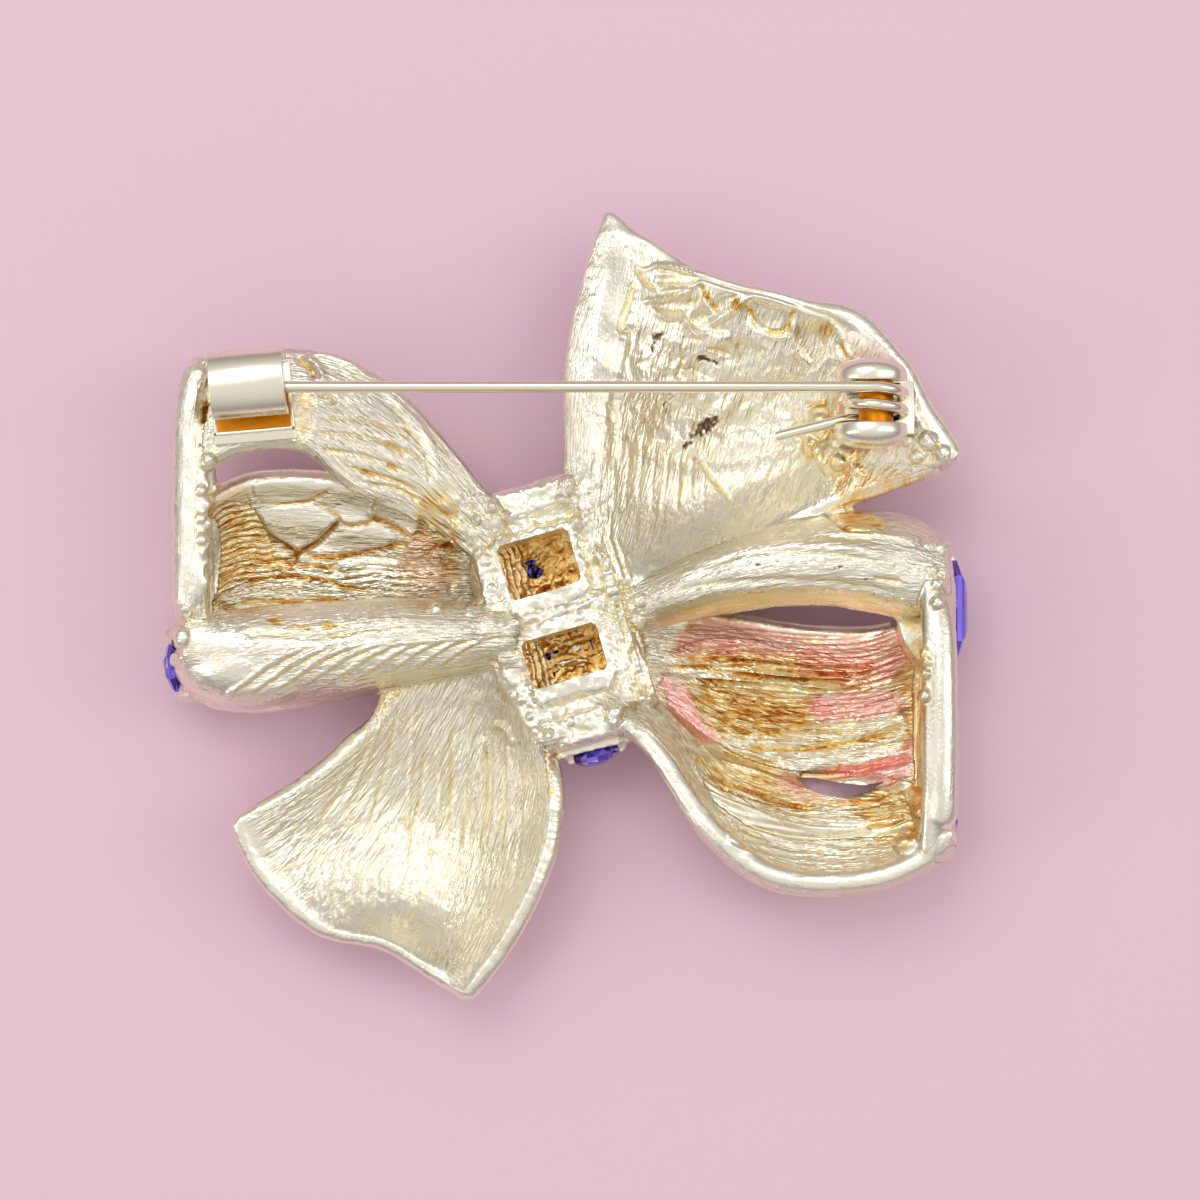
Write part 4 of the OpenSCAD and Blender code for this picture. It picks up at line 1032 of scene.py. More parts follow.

# Upper tail: hollows and swellings, creases, fine lines, areas of painted shade and reflection, and dark pits
tail = Marks("upper_tail")
for x, y, size, wide, angle, depth in [
        (674, 277, 46, 11, 2, -0.16), (676, 303, 38, 16, 5, -0.26), (702, 318, 24, 22, 40, -0.28),
        (724, 300, 26, 14, 25, -0.2), (768, 312, 44, 34, -12, -0.4), (812, 342, 30, 44, 15, -0.26),
        (742, 354, 54, 32, -5, -0.3), (724, 338, 30, 16, -10, 0.12), (670, 352, 34, 40, 20, 0.14),
        (640, 352, 16, 44, 0, -0.22), (772, 300, 34, 12, -18, 0.14), (705, 366, 40, 20, 0, -0.16),
        (742, 414, 60, 30, 30, -0.16), (700, 400, 40, 24, -10, -0.14), (664, 420, 40, 30, 20, -0.12),
        (788, 400, 40, 30, 0, -0.14), (782, 372, 30, 14, 0, 0.12), (836, 372, 26, 26, 0, -0.2)]:
    tail.dent(x, y, size, wide, angle, depth, 2.0)
for points, wide, depth, tint in [
        ([(612, 222), (640, 236), (700, 260), (770, 277), (830, 293), (872, 316), (900, 350)], 6.0, 0.2, 0),
        ([(630, 260), (662, 266), (702, 275), (738, 286), (764, 290), (790, 298), (812, 308), (834, 316),
         (846, 336)], 2.6, -0.16, 0.08),
        ([(642, 268), (662, 262), (682, 266), (702, 274)], 2.4, 0.22, 0),
        ([(637, 266), (648, 280), (658, 288)], 2.2, -0.26, 0.2),
        ([(657, 288), (672, 283), (690, 284), (704, 277)], 2.2, 0.18, 0),
        ([(640, 300), (657, 297), (676, 292), (696, 287)], 2.4, 0.2, 0.6),
        ([(650, 303), (660, 313), (670, 316), (682, 315), (694, 331), (704, 332), (712, 324)], 2.2, 0.22, 0),
        ([(701, 279), (706, 292), (712, 302), (720, 311)], 2.0, -0.28, 0.35),
        ([(696, 331), (714, 319), (730, 309), (742, 299), (752, 293)], 3.4, 0.24, 0),
        ([(746, 296), (750, 310), (760, 325), (774, 331), (788, 327), (794, 314), (799, 303)], 2.8, -0.2, 0.45),
        ([(784, 328), (791, 318), (797, 306)], 3.6, -0.1, 0.8),
        ([(790, 312), (795, 330), (799, 348), (812, 366)], 3.0, 0.26, 0),
        ([(752, 296), (757, 314), (768, 332), (790, 336)], 3.0, 0.2, 0),
        ([(832, 316), (843, 332), (849, 352), (860, 362)], 3.0, 0.22, 0.3),
        ([(840, 338), (846, 352), (856, 360)], 3.5, -0.2, 0.7),
        ([(638, 264), (632, 290), (622, 324), (632, 328), (630, 350), (621, 378)], 3.0, -0.26, 0.0),
        ([(617, 380), (614, 410), (616, 440), (612, 470)], 4, -0.2, 0.1),
        ([(612, 244), (602, 290), (594, 350), (590, 410)], 9.0, 0.18, 0),
        ([(738, 338), (741, 352), (744, 364)], 2.0, -0.12, 0.3),
        ([(686, 352), (680, 368), (676, 378)], 2.2, -0.16, 0.5),
        ([(706, 346), (722, 350), (732, 356)], 2.0, -0.16, 0.3),
        ([(688, 452), (700, 462), (708, 472), (720, 488), (735, 505)], 1.6, -0.2, 0.05),
        ([(684, 474), (682, 490), (680, 508)], 2.0, -0.1, 0.7),
        ([(664, 478), (661, 496), (658, 516)], 1.8, -0.1, 0.6),
        ([(606, 400), (610, 412), (608, 424)], 2.0, -0.1, 0.6),
        ([(804, 402), (816, 404), (830, 400)], 3.5, -0.2, 0.6),
        ([(842, 396), (852, 404), (862, 408)], 4.0, -0.2, 0.8)]:
    tail.line(points, wide, depth, tint)
for k in range(8):
    x = 740 + k * 18
    tail.line([(x, 506 - k * 2), (x + 12, 480 - k * 2), (x + 30, 452 - k * 2)], 2.2, 0.08, 0)
for k in range(9):
    x = 604 + k * 13
    tail.line([(x, 430 + (k % 3) * 9), (x - 3, 470), (x - 5, 512 - (k % 2) * 12)], 2.0, 0.07, 0)
tail.area(oval(700, 296, 30, 8, 15), 0.5, soft=3)
tail.area(oval(827, 328, 16, 16), 0.9, soft=4)
tail.area(oval(738, 303, 10, 10), 1.0, soft=3)
tail.area([[820, 400], [862, 396], [870, 436], [864, 474], [836, 474], [806, 450]], 0.5, soft=6)
tail.area([[832, 464], [884, 470], [940, 478], [930, 500], [860, 505], [836, 492]], 0.55, 0.1, soft=4)
tail.area([[596, 232], [628, 240], [634, 290], [620, 330], [614, 440], [592, 440], [590, 320]], quiet=0.7,
    soft=6)
for x, y, size, wide, angle, amount in [
        (660, 334, 24, 10, 25, 1.0), (654, 344, 9, 18, 0, 0.95), (703, 357, 14, 11, 0, 1.25),
         (714, 361, 18, 7, -15, 0.9),
        (669, 404, 14, 28, -10, 0.85), (708, 424, 60, 16, 42, 1.02), (690, 443, 20, 9, 30, 1.0)]:
    tail.specks(x, y, size, wide, angle, amount)
tail.area([[846, 352], [884, 348], [904, 364], [914, 396], [912, 436], [896, 452], [868, 452], [846, 440],
    [840, 390]], 0.1, 0.5, soft=5)
blotchy = np.exp(-(((seen_x - 712) / 96) ** 2 + ((seen_y - 385) / 66) ** 2) ** 2) * on["upper_tail"]
marked += blotchy * 0.16 * fbm(skin.verts / 1.25, 91, 3)

# Grain of each ribbon: height of its lines in millimetres, height of its lumps, and spacing of the lines
GRAIN = {
    "left_front_layer": (0.12, 0.04, 0.9),
    "left_end_fold": (0.012, 0.04, 1.6),
    "left_upper_arm": (0.06, 0.04, 1.0),
    "left_lower_arm": (0.05, 0.04, 1.1),
    "right_front_layer": (0.13, 0.03, 0.8),
    "right_lower_side": (0.10, 0.03, 0.8),
    "right_end_fold": (0.012, 0.035, 1.6),
    "right_upper_arm": (0.05, 0.05, 1.4),
    "upper_tail": (0.045, 0.03, 0.8),
    "lower_tail": (0.07, 0.03, 0.8),
}
tall, lumpy, spacing = (np.array([GRAIN[n][k] for n in names])[ribbon] for k in range(3))

# Beside the left end fold the grain fans out, steep at the fold and level further on
FAN_FOLD = 204
FAN_PITCH = 6.4
FAN_OUTLINE = [[200, 502], [226, 500], [250, 504], [262, 522], [272, 536], [288, 546], [297, 555], [292, 568],
               [270, 578], [236, 586], [200, 602]]
fan = np.zeros(count)
depth_in, at = front.inside(FAN_OUTLINE, 1)
fan[front.index[at]] = smoothstep(-2, 3, depth_in) * front.weight[at]
fan_level = (seen_y - 28 * np.exp(-np.clip(seen_x - FAN_FOLD, 0, 200) / 17)
             + 2.0 * noise2(seen_x / 11, seen_y / 11, 51))
in_fan = fan > 0.5
flow = np.where(in_fan, (seen_x - FAN_FOLD) * STEP, flow)
cross = np.where(in_fan, fan_level * STEP, cross)
fan_turn = 2 * math.pi * fan_level / FAN_PITCH
# Deeper gold painted along the fan's lines, fading away from the fold: painted shade along its lines
amber += fan * 0.5 * (0.5 - 0.5 * np.cos(fan_turn + 2.2)) * smoothstep(290, 225, seen_x)


def ridged(values):
    return 1 - 2 * np.abs(values) ** 0.8


wave = 0.55 * noise2(flow / 2.6, cross / 1.7, 11) + 0.16 * noise2(flow / 0.9, cross / 0.8, 12)
lane = (cross + wave) / spacing
grain = (0.45 * ridged(noise2(flow / 5.0, lane / 1.0, 21))
         + 0.33 * ridged(noise2(flow / 3.4, lane / 0.5, 22))
         + 0.22 * noise2(flow / 2.0, lane / 0.26, 23))
fade = np.clip(1.6 - distance / WALL, 0, 1) * smoothstep(-0.02, 0.05, v) * smoothstep(1.02, 0.95, v)
height = tall * grain * fade * (1 - calm) * (1 - 0.7 * fan)
height += lumpy * fbm(skin.verts / 1.5, 31, 3) * (1 - 0.6 * calm) + marked
height += fan * 0.06 * np.cos(fan_turn) * (1 - calm)

# The knot, which lies clear of the ribbons: lumps all over, drawn lines on its right plate, waves along its bar
across_knot, along_knot, _ = turn_z(skin.verts - KNOT_AT, -KNOT_TURN).T
on_knot = (smoothstep(5.6, 4.6, np.abs(across_knot)) * smoothstep(9.2, 8.2, np.abs(along_knot)) * back
           * smoothstep(5.4, 5.9, skin.verts[:, 2]))
height += on_knot * (0.13 * fbm(skin.verts / 1.1, 81, 2) + 0.07 * fbm(skin.verts / 0.42, 83, 2))
plate = on_knot * smoothstep(0.3, 0.36, across_knot / KNOT_SIZE[0]) * smoothstep(3.6, 3.0, along_knot)
plate *= smoothstep(-8.0, -7.2, along_knot)
height += plate * 0.09 * np.sin(across_knot * 13 + 1.2 * noise2(across_knot, along_knot / 2, 85))
bar_wave = on_knot * np.exp(-((along_knot + 0.1) / 0.55) ** 2) * smoothstep(3.6, 2.8, np.abs(across_knot))
height += bar_wave * (0.18 + 0.16 * np.sin(across_knot * 2.1 + 0.8))

# Grains of metal left on the knot and, loose, on the ribbons: place and radius, on the camera's grid
KNOT_GRAINS = [
    (640, 600, 7), (638, 623, 7), (651, 702, 7), (548, 733, 6), (613, 712, 7), (604, 560, 6), (612, 590, 5),
    (586, 604, 5),
    (498, 536, 5), (486, 560, 6), (492, 588, 5), (476, 520, 6), (505, 515, 5), (560, 500, 5), (585, 512, 5),
    (470, 612, 5), (520, 700, 5), (632, 646, 4), (570, 722, 5), (530, 716, 4),
]
LOOSE_GRAINS = [
    (200, 490, 6), (200, 518, 6), (201, 539, 6), (207, 461, 9), (185, 611, 7), (178, 637, 12), (176, 660, 7),
    (945, 547, 7), (938, 584, 7), (937, 603, 7), (927, 662, 5), (926, 674, 5), (924, 696, 6), (915, 811, 6),
    (934, 570, 5),
    (436, 606, 6), (452, 590, 5), (446, 560, 5), (820, 416, 11), (838, 436, 9), (812, 446, 9), (800, 428, 7),
    (838, 462, 8), (856, 470, 7), (930, 440, 10), (944, 452, 8), (918, 456, 7), (908, 440, 6),
]
for x, y, radius in KNOT_GRAINS + LOOSE_GRAINS:
    far = np.hypot(seen_x - x, seen_y - y) / radius
    height += back * 0.7 * radius * STEP * np.sqrt(np.clip(1 - far ** 2, 0, 1))
skin.verts = skin.verts + normal * height[:, None]
skin.verts = skin.smoothed(skin.verts, 1, 0.2)
normal = skin.normals()


def cut_form(length, width, levels, grow=0.0):
    """A stone's cutter, of rings with eight corners: for each its share of the outline, and its height."""
    rings = [[[x, y, z] for x, y in cut_outline(length * share + grow, width * share + grow)]
             for share, z in levels]
    last = len(levels) - 1
    faces = [list(range(8))[::-1], [last * 8 + i for i in range(8)]]
    faces += [[r * 8 + i, r * 8 + (i + 1) % 8, (r + 1) * 8 + (i + 1) % 8, (r + 1) * 8 + i]
              for r in range(last) for i in range(8)]
    return np.array(sum(rings, []), float), faces


# Seats and openings are cut after the surface is finished
def seat_cutter(length, width):
    side = min(length, width)
    levels = [(1, -side), (1, GIRDLE_TOP * side), (CULET[0], CULET[1] * side)]
    return cut_form(length, width, levels, 2 * STONE_GAP)


def from_view(x, y, level):
    """The place, in millimetres, that the camera sees at (x, y), at a level above the floor."""
    scale = STEP * (EYE_DISTANCE + TARGET[2] - level) / EYE_DISTANCE
    return [TARGET[0] + (x - MIDDLE) * scale, TARGET[1] - (y - MIDDLE) * scale - (level - TARGET[2]) * LEAN,
            level]


# The slit in the right bowl, on the camera's grid, and the level it is seen at
SLIT_OUTLINE = [(797, 777), (806, 788), (822, 795), (846, 797), (868, 792), (884, 781), (862, 785), (838, 782),
                (814, 777)]
SLIT_LEVEL = 2.0
# The two openings: width and height, and their shift from the stones' middles
OPENINGS = {1: ((4.5, 3.5), (-0.1, 0.15)), -1: ((4.75, 3.0), (-0.15, 0.2))}
seats, openings = Parts(), Parts()
slit = Parts()
slit.add(*prism([from_view(x, y, SLIT_LEVEL)[:2] for x, y in SLIT_OUTLINE], -1, 5))
for name, seat, length, width in STONES:
    verts, faces = seat_cutter(length, width)
    seats.add(at_seat(verts, seat), faces)
for end in (-1, 1):
    verts, faces = seat_cutter(KNOT_STONE, KNOT_STONE)
    seats.add(at_knot(verts + [0, 0, KNOT_GIRDLE], end * STONE_PITCH / 2), faces)
    size, at = OPENINGS[end]
    verts, faces = prism(cut_outline(size[1], size[0], 0.08), 0, 9)
    openings.add(at_knot(verts + [at[0], at[1], KNOT_LEDGE], end * STONE_PITCH / 2), faces)
for cutter in (seats, openings, slit):
    tool = linked("cut_work", cutter.mesh("cut_work"))
    carve = cast.modifiers.new("carve", "BOOLEAN")
    carve.operation = "DIFFERENCE"
    carve.solver = "MANIFOLD"
    carve.object = tool
    applied(cast)
    bpy.data.objects.remove(tool)

# After the cuts each vertex takes its values from the nearest vertex of the skin
carved = read(cast.data.vertices, "co", 3).astype(float)
skin_tree = tree_of_points(skin.verts)
near = np.array([skin_tree.find(Vector(p))[1] for p in carved])
# Painted shade in hollows: how far each vertex lies below the smoothed surface. The material paints these
# hollows a deeper gold, standing in for shade and gold mirroring gold.
CAVITY_ROUNDS, CAVITY_DEPTH = 14, 0.14
hollow_shade = skin.smoothed(skin.verts, CAVITY_ROUNDS, 0.6) - skin.verts
hollow_shade = np.einsum("ij,ij->i", hollow_shade, normal)
hollow_shade = skin.smoothed(hollow_shade, 2)


def keep_vector(mesh, name, values):
    made = mesh.attributes.new(name, "FLOAT_VECTOR", "POINT")
    made.data.foreach_set("vector", np.asarray(values, np.float32).reshape(-1))


def keep_number(mesh, name, values):
    made = mesh.attributes.new(name, "FLOAT", "POINT")
    made.data.foreach_set("value", np.asarray(values, np.float32))


def tree_of(name):
    """A new material, its tree and its shader."""
    material = bpy.data.materials.new(name)
    material.use_nodes = True
    tree = material.node_tree
    return material, tree, tree.nodes["Principled BSDF"]


def node(tree, kind, **settings):
    """A new node, with values for its inputs or its own settings."""
    made = tree.nodes.new(kind)
    for key, value in settings.items():
        if key in made.inputs.keys():
            made.inputs[key].default_value = value
        else:
            setattr(made, key, value)
    return made


def object_place(tree):
    return node(tree, "ShaderNodeTexCoord").outputs["Object"]


def stored(tree, name):
    """A number kept with the mesh."""
    return node(tree, "ShaderNodeAttribute", attribute_name=name).outputs["Fac"]


def noise_of(tree, vector, scale, detail=2.0, roughness=0.5):
    made = node(tree, "ShaderNodeTexNoise", Scale=scale, Detail=detail, Roughness=roughness)
    tree.links.new(vector, made.inputs["Vector"])
    return made.outputs["Fac"]


def ramp_of(tree, value, stops):
    made = tree.nodes.new("ShaderNodeValToRGB")
    elements = made.color_ramp.elements
    while len(elements) < len(stops):
        elements.new(0.5)
    for element, (position, color) in zip(elements, stops):
        element.position = position
        element.color = (*color, 1)
    tree.links.new(value, made.inputs["Fac"])
    return made.outputs["Color"]


def feed(tree, value, socket):
    """Gives an input a number, a colour or a link."""
    if isinstance(value, (int, float)):
        socket.default_value = value
    elif isinstance(value, tuple):
        socket.default_value = (*value, 1)
    else:
        tree.links.new(value, socket)


def mixed(tree, factor, a, b):
    made = tree.nodes.new("ShaderNodeMix")
    made.data_type = "RGBA"
    for value, socket in ((factor, made.inputs[0]), (a, made.inputs[6]), (b, made.inputs[7])):
        feed(tree, value, socket)
    return made.outputs[2]


def math_of(tree, operation, *values):
    made = tree.nodes.new("ShaderNodeMath")
    made.operation = operation
    for value, socket in zip(values, made.inputs):
        feed(tree, value, socket)
    return made.outputs[0]


def bumped(tree, shader, height, strength, distance, under=None):
    """Bumps the shader's surface, over the normal of the bump under it, if any. Returns the new normal."""
    bump = node(tree, "ShaderNodeBump", Strength=strength, Distance=distance)
    tree.links.new(height, bump.inputs["Height"])
    if under:
        tree.links.new(under, bump.inputs["Normal"])
    tree.links.new(bump.outputs["Normal"], shader.inputs["Normal"])
    return bump.outputs["Normal"]


def gray(value):
    return (value, value, value)


def grays(*stops):
    """Stops of a ramp from positions and shades of gray."""
    return [(position, gray(shade)) for position, shade in stops]


# Colours of the metal: pale and cream tones that vary at random; yellow, amber and brown painted into hollows,
# creases and grain valleys as painted shade and gold-on-gold reflection; pink as a painted reflection; a dark
# brown for painted shade and dark specks
PALE = (0.935, 0.90, 0.795)
CREAM = (0.915, 0.865, 0.72)
YELLOW = (0.90, 0.76, 0.44)
AMBER = (0.83, 0.54, 0.19)
BROWN = (0.58, 0.28, 0.09)
REFLECTED_PINK_TINT = (0.93, 0.44, 0.46)
SHADE_AND_SPECK_BROWN = (0.16, 0.09, 0.06)


def cast_metal():
    """The cast metal: drawn lines along the grain; deeper gold painted in hollows and valleys as painted shade
    and reflection; painted pink reflection; painted shade and dark specks.
    """
    material, tree, shader = tree_of("cast_gold_tone_metal")
    flow = node(tree, "ShaderNodeAttribute", attribute_name="flow").outputs["Vector"]
    place = object_place(tree)

    def drawn(along, across, detail):
        """Noise drawn out along the grain."""
        stretch = node(tree, "ShaderNodeVectorMath", operation="MULTIPLY")
        tree.links.new(flow, stretch.inputs[0])
        stretch.inputs[1].default_value = (along, across, 1.0)
        return noise_of(tree, stretch.outputs[0], 1.0, detail, 0.6)

    broad, fine = drawn(0.7, 4.2, 2.0), drawn(1.5, 9.0, 1.0)
    lines = math_of(tree, "MULTIPLY", broad, stored(tree, "grain"))
    hairs = math_of(tree, "MULTIPLY", fine, stored(tree, "grain"))
    blotch = noise_of(tree, place, 480.0)
    # The grain's valleys, the hollows and the marked creases are painted yellow, amber and brown: painted shade
    # and reflection
    valley = ramp_of(tree, broad, grays((0, 1), (0.36, 1), (0.5, 0.25), (0.62, 0), (1, 0)))
    deep = math_of(tree, "MULTIPLY", stored(tree, "amber"), math_of(tree, "MULTIPLY_ADD", valley, 1.0, 0.4))
    deep = math_of(tree, "MULTIPLY_ADD", stored(tree, "hollow_shade"), 0.75, deep)
    deep = math_of(tree, "MULTIPLY_ADD", math_of(tree, "MULTIPLY", valley, stored(tree, "grain")), 0.14, deep)
    tint = mixed(tree, blotch, PALE, CREAM)
    for color, stops in ((YELLOW, grays((0, 0), (0.45, 1), (1, 1))),
                         (AMBER, grays((0, 0), (0.35, 0), (0.8, 1))),
                         (BROWN, grays((0, 0), (0.85, 0), (1, 0.8)))):
        tint = mixed(tree, ramp_of(tree, deep, stops), tint, color)
    # Painted pink reflection
    tint = mixed(tree, math_of(tree, "MULTIPLY", stored(tree, "reflected_pink"), 0.8), tint, REFLECTED_PINK_TINT)
    # Painted shade, and the dark specks, in dark brown
    tint = mixed(tree, stored(tree, "dark"), tint, SHADE_AND_SPECK_BROWN)
    tree.links.new(tint, shader.inputs["Base Color"])
    tree.links.new(ramp_of(tree, blotch, grays((0.3, 0.2), (0.7, 0.36))), shader.inputs["Roughness"])
    shader.inputs["Metallic"].default_value = 1.0
    normal = bumped(tree, shader, lines, 1.0, 0.00017)
    normal = bumped(tree, shader, hairs, 1.0, 0.00008, normal)
    bumped(tree, shader, noise_of(tree, place, 3600.0, 3.0, 0.6), 0.5, 0.00006, normal)
    return material


def sheet_metal(name, tint, low, high, bump_size):
    """Smooth metal of the fittings, with its lowest and highest roughness."""
    material, tree, shader = tree_of(name)
    place = object_place(tree)
    cloud = noise_of(tree, place, 900.0, 3.0, 0.6)
    tree.links.new(mixed(tree, cloud, tint, tuple(0.93 * c for c in tint)), shader.inputs["Base Color"])
    tree.links.new(ramp_of(tree, cloud, grays((0.3, low), (0.7, high))), shader.inputs["Roughness"])
    shader.inputs["Metallic"].default_value = 1.0
    bumped(tree, shader, noise_of(tree, place, 1500.0, 3.0, 0.6), 0.25, bump_size)
    return material


def crystal():
    """Violet glass, each facet painted lighter or darker at random, from deep violet to pale blue: painted
    facet light.
    """
    material, tree, shader = tree_of("violet_crystal_glass")
    shade = ramp_of(tree, stored(tree, "facet"), [
        (0.0, (0.035, 0.012, 0.30)), (0.5, (0.10, 0.045, 0.62)), (0.8, (0.22, 0.16, 0.90)),
        (1.0, (0.50, 0.58, 0.95))])
    tree.links.new(shade, shader.inputs["Base Color"])
    for key, value in (("Metallic", 0.6), ("Roughness", 0.08), ("Coat Weight", 1.0), ("Coat Roughness", 0.02)):
        shader.inputs[key].default_value = value
    bumped(tree, shader, noise_of(tree, object_place(tree), 900.0), 0.15, 0.00002)
    return material


def foil():
    """The gilt foil on a stone's back: amber, painted dark brown in its low crumples and light gold on its high
    ones, with painted cream glints and painted highlights on its folds; dark blue where it has come off.
    """
    material, tree, shader = tree_of("stone_foil")
    place = object_place(tree)
    crumple = noise_of(tree, place, 1500.0, 3.0, 0.6)
    grit = noise_of(tree, place, 4200.0)
    # The foil's colour follows the crumple that bumps it, dark brown low and light gold high: painted shade and
    # highlight. Cream specks are painted glints, and its folds get painted highlights.
    tint = ramp_of(tree, crumple, [
        (0.3, (0.42, 0.17, 0.045)), (0.48, (0.80, 0.44, 0.12)), (0.7, (0.96, 0.72, 0.33))])
    tint = mixed(tree, ramp_of(tree, grit, grays((0.55, 0), (0.68, 0.8))), tint, (0.95, 0.85, 0.62))
    tint = mixed(tree, stored(tree, "fold_highlight"), tint, (0.95, 0.88, 0.68))
    torn = math_of(tree, "MULTIPLY_ADD", math_of(tree, "SUBTRACT", crumple, 0.5), 1.8, stored(tree, "bare"))
    bare = ramp_of(tree, torn, grays((0, 0), (0.58, 0), (0.64, 1), (1, 1)))
    blue = ramp_of(tree, grit, [(0.45, (0.006, 0.004, 0.02)), (0.62, (0.10, 0.10, 0.45))])
    tree.links.new(mixed(tree, bare, tint, blue), shader.inputs["Base Color"])
    shader.inputs["Metallic"].default_value = 1.0
    shader.inputs["Roughness"].default_value = 0.3
    bumped(tree, shader, crumple, 0.8, 0.00016)
    return material


def channel():
    """The inside of the catch, painted deep amber and orange: a painted reflection of gold mirroring gold."""
    material, tree, shader = tree_of("catch_channel_painted_reflection")
    cloud = noise_of(tree, object_place(tree), 1500.0, 3.0, 0.6)
    tree.links.new(mixed(tree, cloud, (0.62, 0.17, 0.005), (0.80, 0.32, 0.02)), shader.inputs["Base Color"])
    shader.inputs["Metallic"].default_value = 1.0
    shader.inputs["Roughness"].default_value = 0.4
    return material


CAST = cast_metal()
SATIN = sheet_metal("fittings_satin_metal", (0.93, 0.88, 0.74), 0.22, 0.3, 0.00002)
WIRE = sheet_metal("fittings_wire_metal", (0.93, 0.86, 0.68), 0.12, 0.2, 0.00001)
GLASS = crystal()
FOIL = foil()
AMBER_REFLECTION_METAL = channel()


def finished(obj, body, material, replaced):
    """Gives a piece its material, its body and the solid that it replaces."""
    obj.data.materials.append(material)
    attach(obj, body)
    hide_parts(replaced)


# The fused casting is split into pieces, one for each ribbon and one for the knot
whole = cast.data
whole.set_sharp_from_angle(angle=math.radians(50))
corner_vertex = read(whole.loops, "vertex_index", 1, np.int32)
corner_normal = read(whole.corner_normals, "vector", 3)
face_start = read(whole.polygons, "loop_start", 1, np.int32)
face_size = read(whole.polygons, "loop_total", 1, np.int32)
part_of = ribbon[near].copy()
knot_local = turn_z(carved - KNOT_AT, -KNOT_TURN)
in_knot = np.all(np.abs(knot_local[:, :2]) < np.array(KNOT_SIZE) * 0.5, axis=1)
part_of[in_knot & (distance[near] > WALL * 0.7)] = len(RIBBONS)
face_part = part_of[corner_vertex[face_start]]
in_opening = np.zeros(len(carved), bool)
for end, (size, at) in OPENINGS.items():
    spot = knot_local - [at[0], at[1] + end * STONE_PITCH / 2, 0]
    in_opening |= np.all(np.abs(spot[:, :2]) < np.array(size) / 2 + 0.02, axis=1)
in_opening &= carved[:, 2] < KNOT_BACK + FRAME_HEIGHT - 0.2
flow_at = np.stack([flow, cross, ribbon * 7.3], -1)[near]
# Numbers kept with each piece for its material: painted hollow shade, grain strength, deeper gold of painted
# shade and reflection (also on the inner walls of the knot's openings), painted pink reflection, and painted
# shade with dark specks
VALUES = {
    "hollow_shade": np.clip(hollow_shade / CAVITY_DEPTH, 0, 1)[near],
    "grain": np.clip((tall / 0.10 + 0.3) * fade * (1 - 0.9 * calm), 0, 1.4)[near],
    "amber": np.where(in_opening, 0.62, np.clip(amber, 0, 1.4)[near]),
    "reflected_pink": np.clip(reflected_pink, 0, 1)[near],
    "dark": np.clip(dark, 0, 1)[near],
}
for number, name in enumerate(names + ["knot_body"]):
    chosen = np.flatnonzero(face_part == number)
    corners = np.concatenate([np.arange(face_start[f], face_start[f] + face_size[f]) for f in chosen])
    used, index = np.unique(corner_vertex[corners], return_inverse=True)
    mesh = mesh_from(name, carved[used] * MM, index, face_size[chosen])
    mesh.polygons.foreach_set("use_smooth", np.ones(len(chosen), bool))
    mesh.normals_split_custom_set(corner_normal[corners])
    keep_vector(mesh, "flow", flow_at[used])
    for key, values in VALUES.items():
        keep_number(mesh, key, values[used])
    finished(linked(name, mesh), "brooch", CAST, "bow_casting")
bpy.data.objects.remove(cast)

# Pin, hinge and catch
WIRE_RADIUS = 0.35
HINGE = np.array([18.96, 12.144, 9.63])
HINGE_FLOOR, HINGE_SHEET = 7.11, 0.4
COIL_RADIUS, COIL_HALF, COIL_TURNS, COIL_START = 1.65, 0.7875, 1.5, 2.35
LEG_START, LEG_LENGTH, LEG_TURN = 1.75, 6.1, math.radians(14)
TIP_X, TIP_LENGTH = -20.366, 4.2
EAR_INSIDE, EAR_RADIUS, EAR_RIM, EAR_DOME = 1.2575, 1.75, 0.75, 0.7
# How much wider than round the ears are along the pin, and how far they sit towards the catch
EAR_SPREAD, EAR_SHIFT = 1.25, -0.3
CATCH_X, CATCH_FLOOR, HOOD_LEVEL = -18.816, 8.595, 10.68
CATCH_RADIUS, CATCH_SHEET, CATCH_LENGTH, CATCH_LEDGE, CATCH_LIP = 1.3, 0.35, 4.5, 1.4, 0.22
CATCH_TURN = 5
STEM_Y = HINGE[1] + COIL_HALF
CATCH_OUTER = CATCH_RADIUS + CATCH_SHEET
# How much wider than round the hood is across the pin, and how far it sits up
HOOD_SPREAD, HOOD_SHIFT = 1.25, 0.31


def smooth_object(name, parts, angle=35, bevel=0.0):
    mesh = parts.mesh(name, MM)
    mesh.polygons.foreach_set("use_smooth", np.ones(len(mesh.polygons), bool))
    obj = linked(name, mesh)
    if bevel:
        soft = obj.modifiers.new("edges", "BEVEL")
        soft.width = bevel * MM
        soft.segments = 3
        soft.limit_method = "ANGLE"
        soft.angle_limit = math.radians(angle)
        applied(obj)
    obj.data.set_sharp_from_angle(angle=math.radians(angle))
    return obj


def coil_point(t):
    turn = math.radians(90 - 360 * COIL_TURNS * t)
    return [COIL_RADIUS * math.cos(turn), COIL_HALF - 2 * COIL_HALF * t, COIL_RADIUS * math.sin(turn)]


def fitting(name, parts, angle, bevel=0.0, metal=None):
    """A piece of the hinge or the catch."""
    finished(smooth_object(name, parts, angle, bevel), "brooch", metal or SATIN,
             "bow_casting")


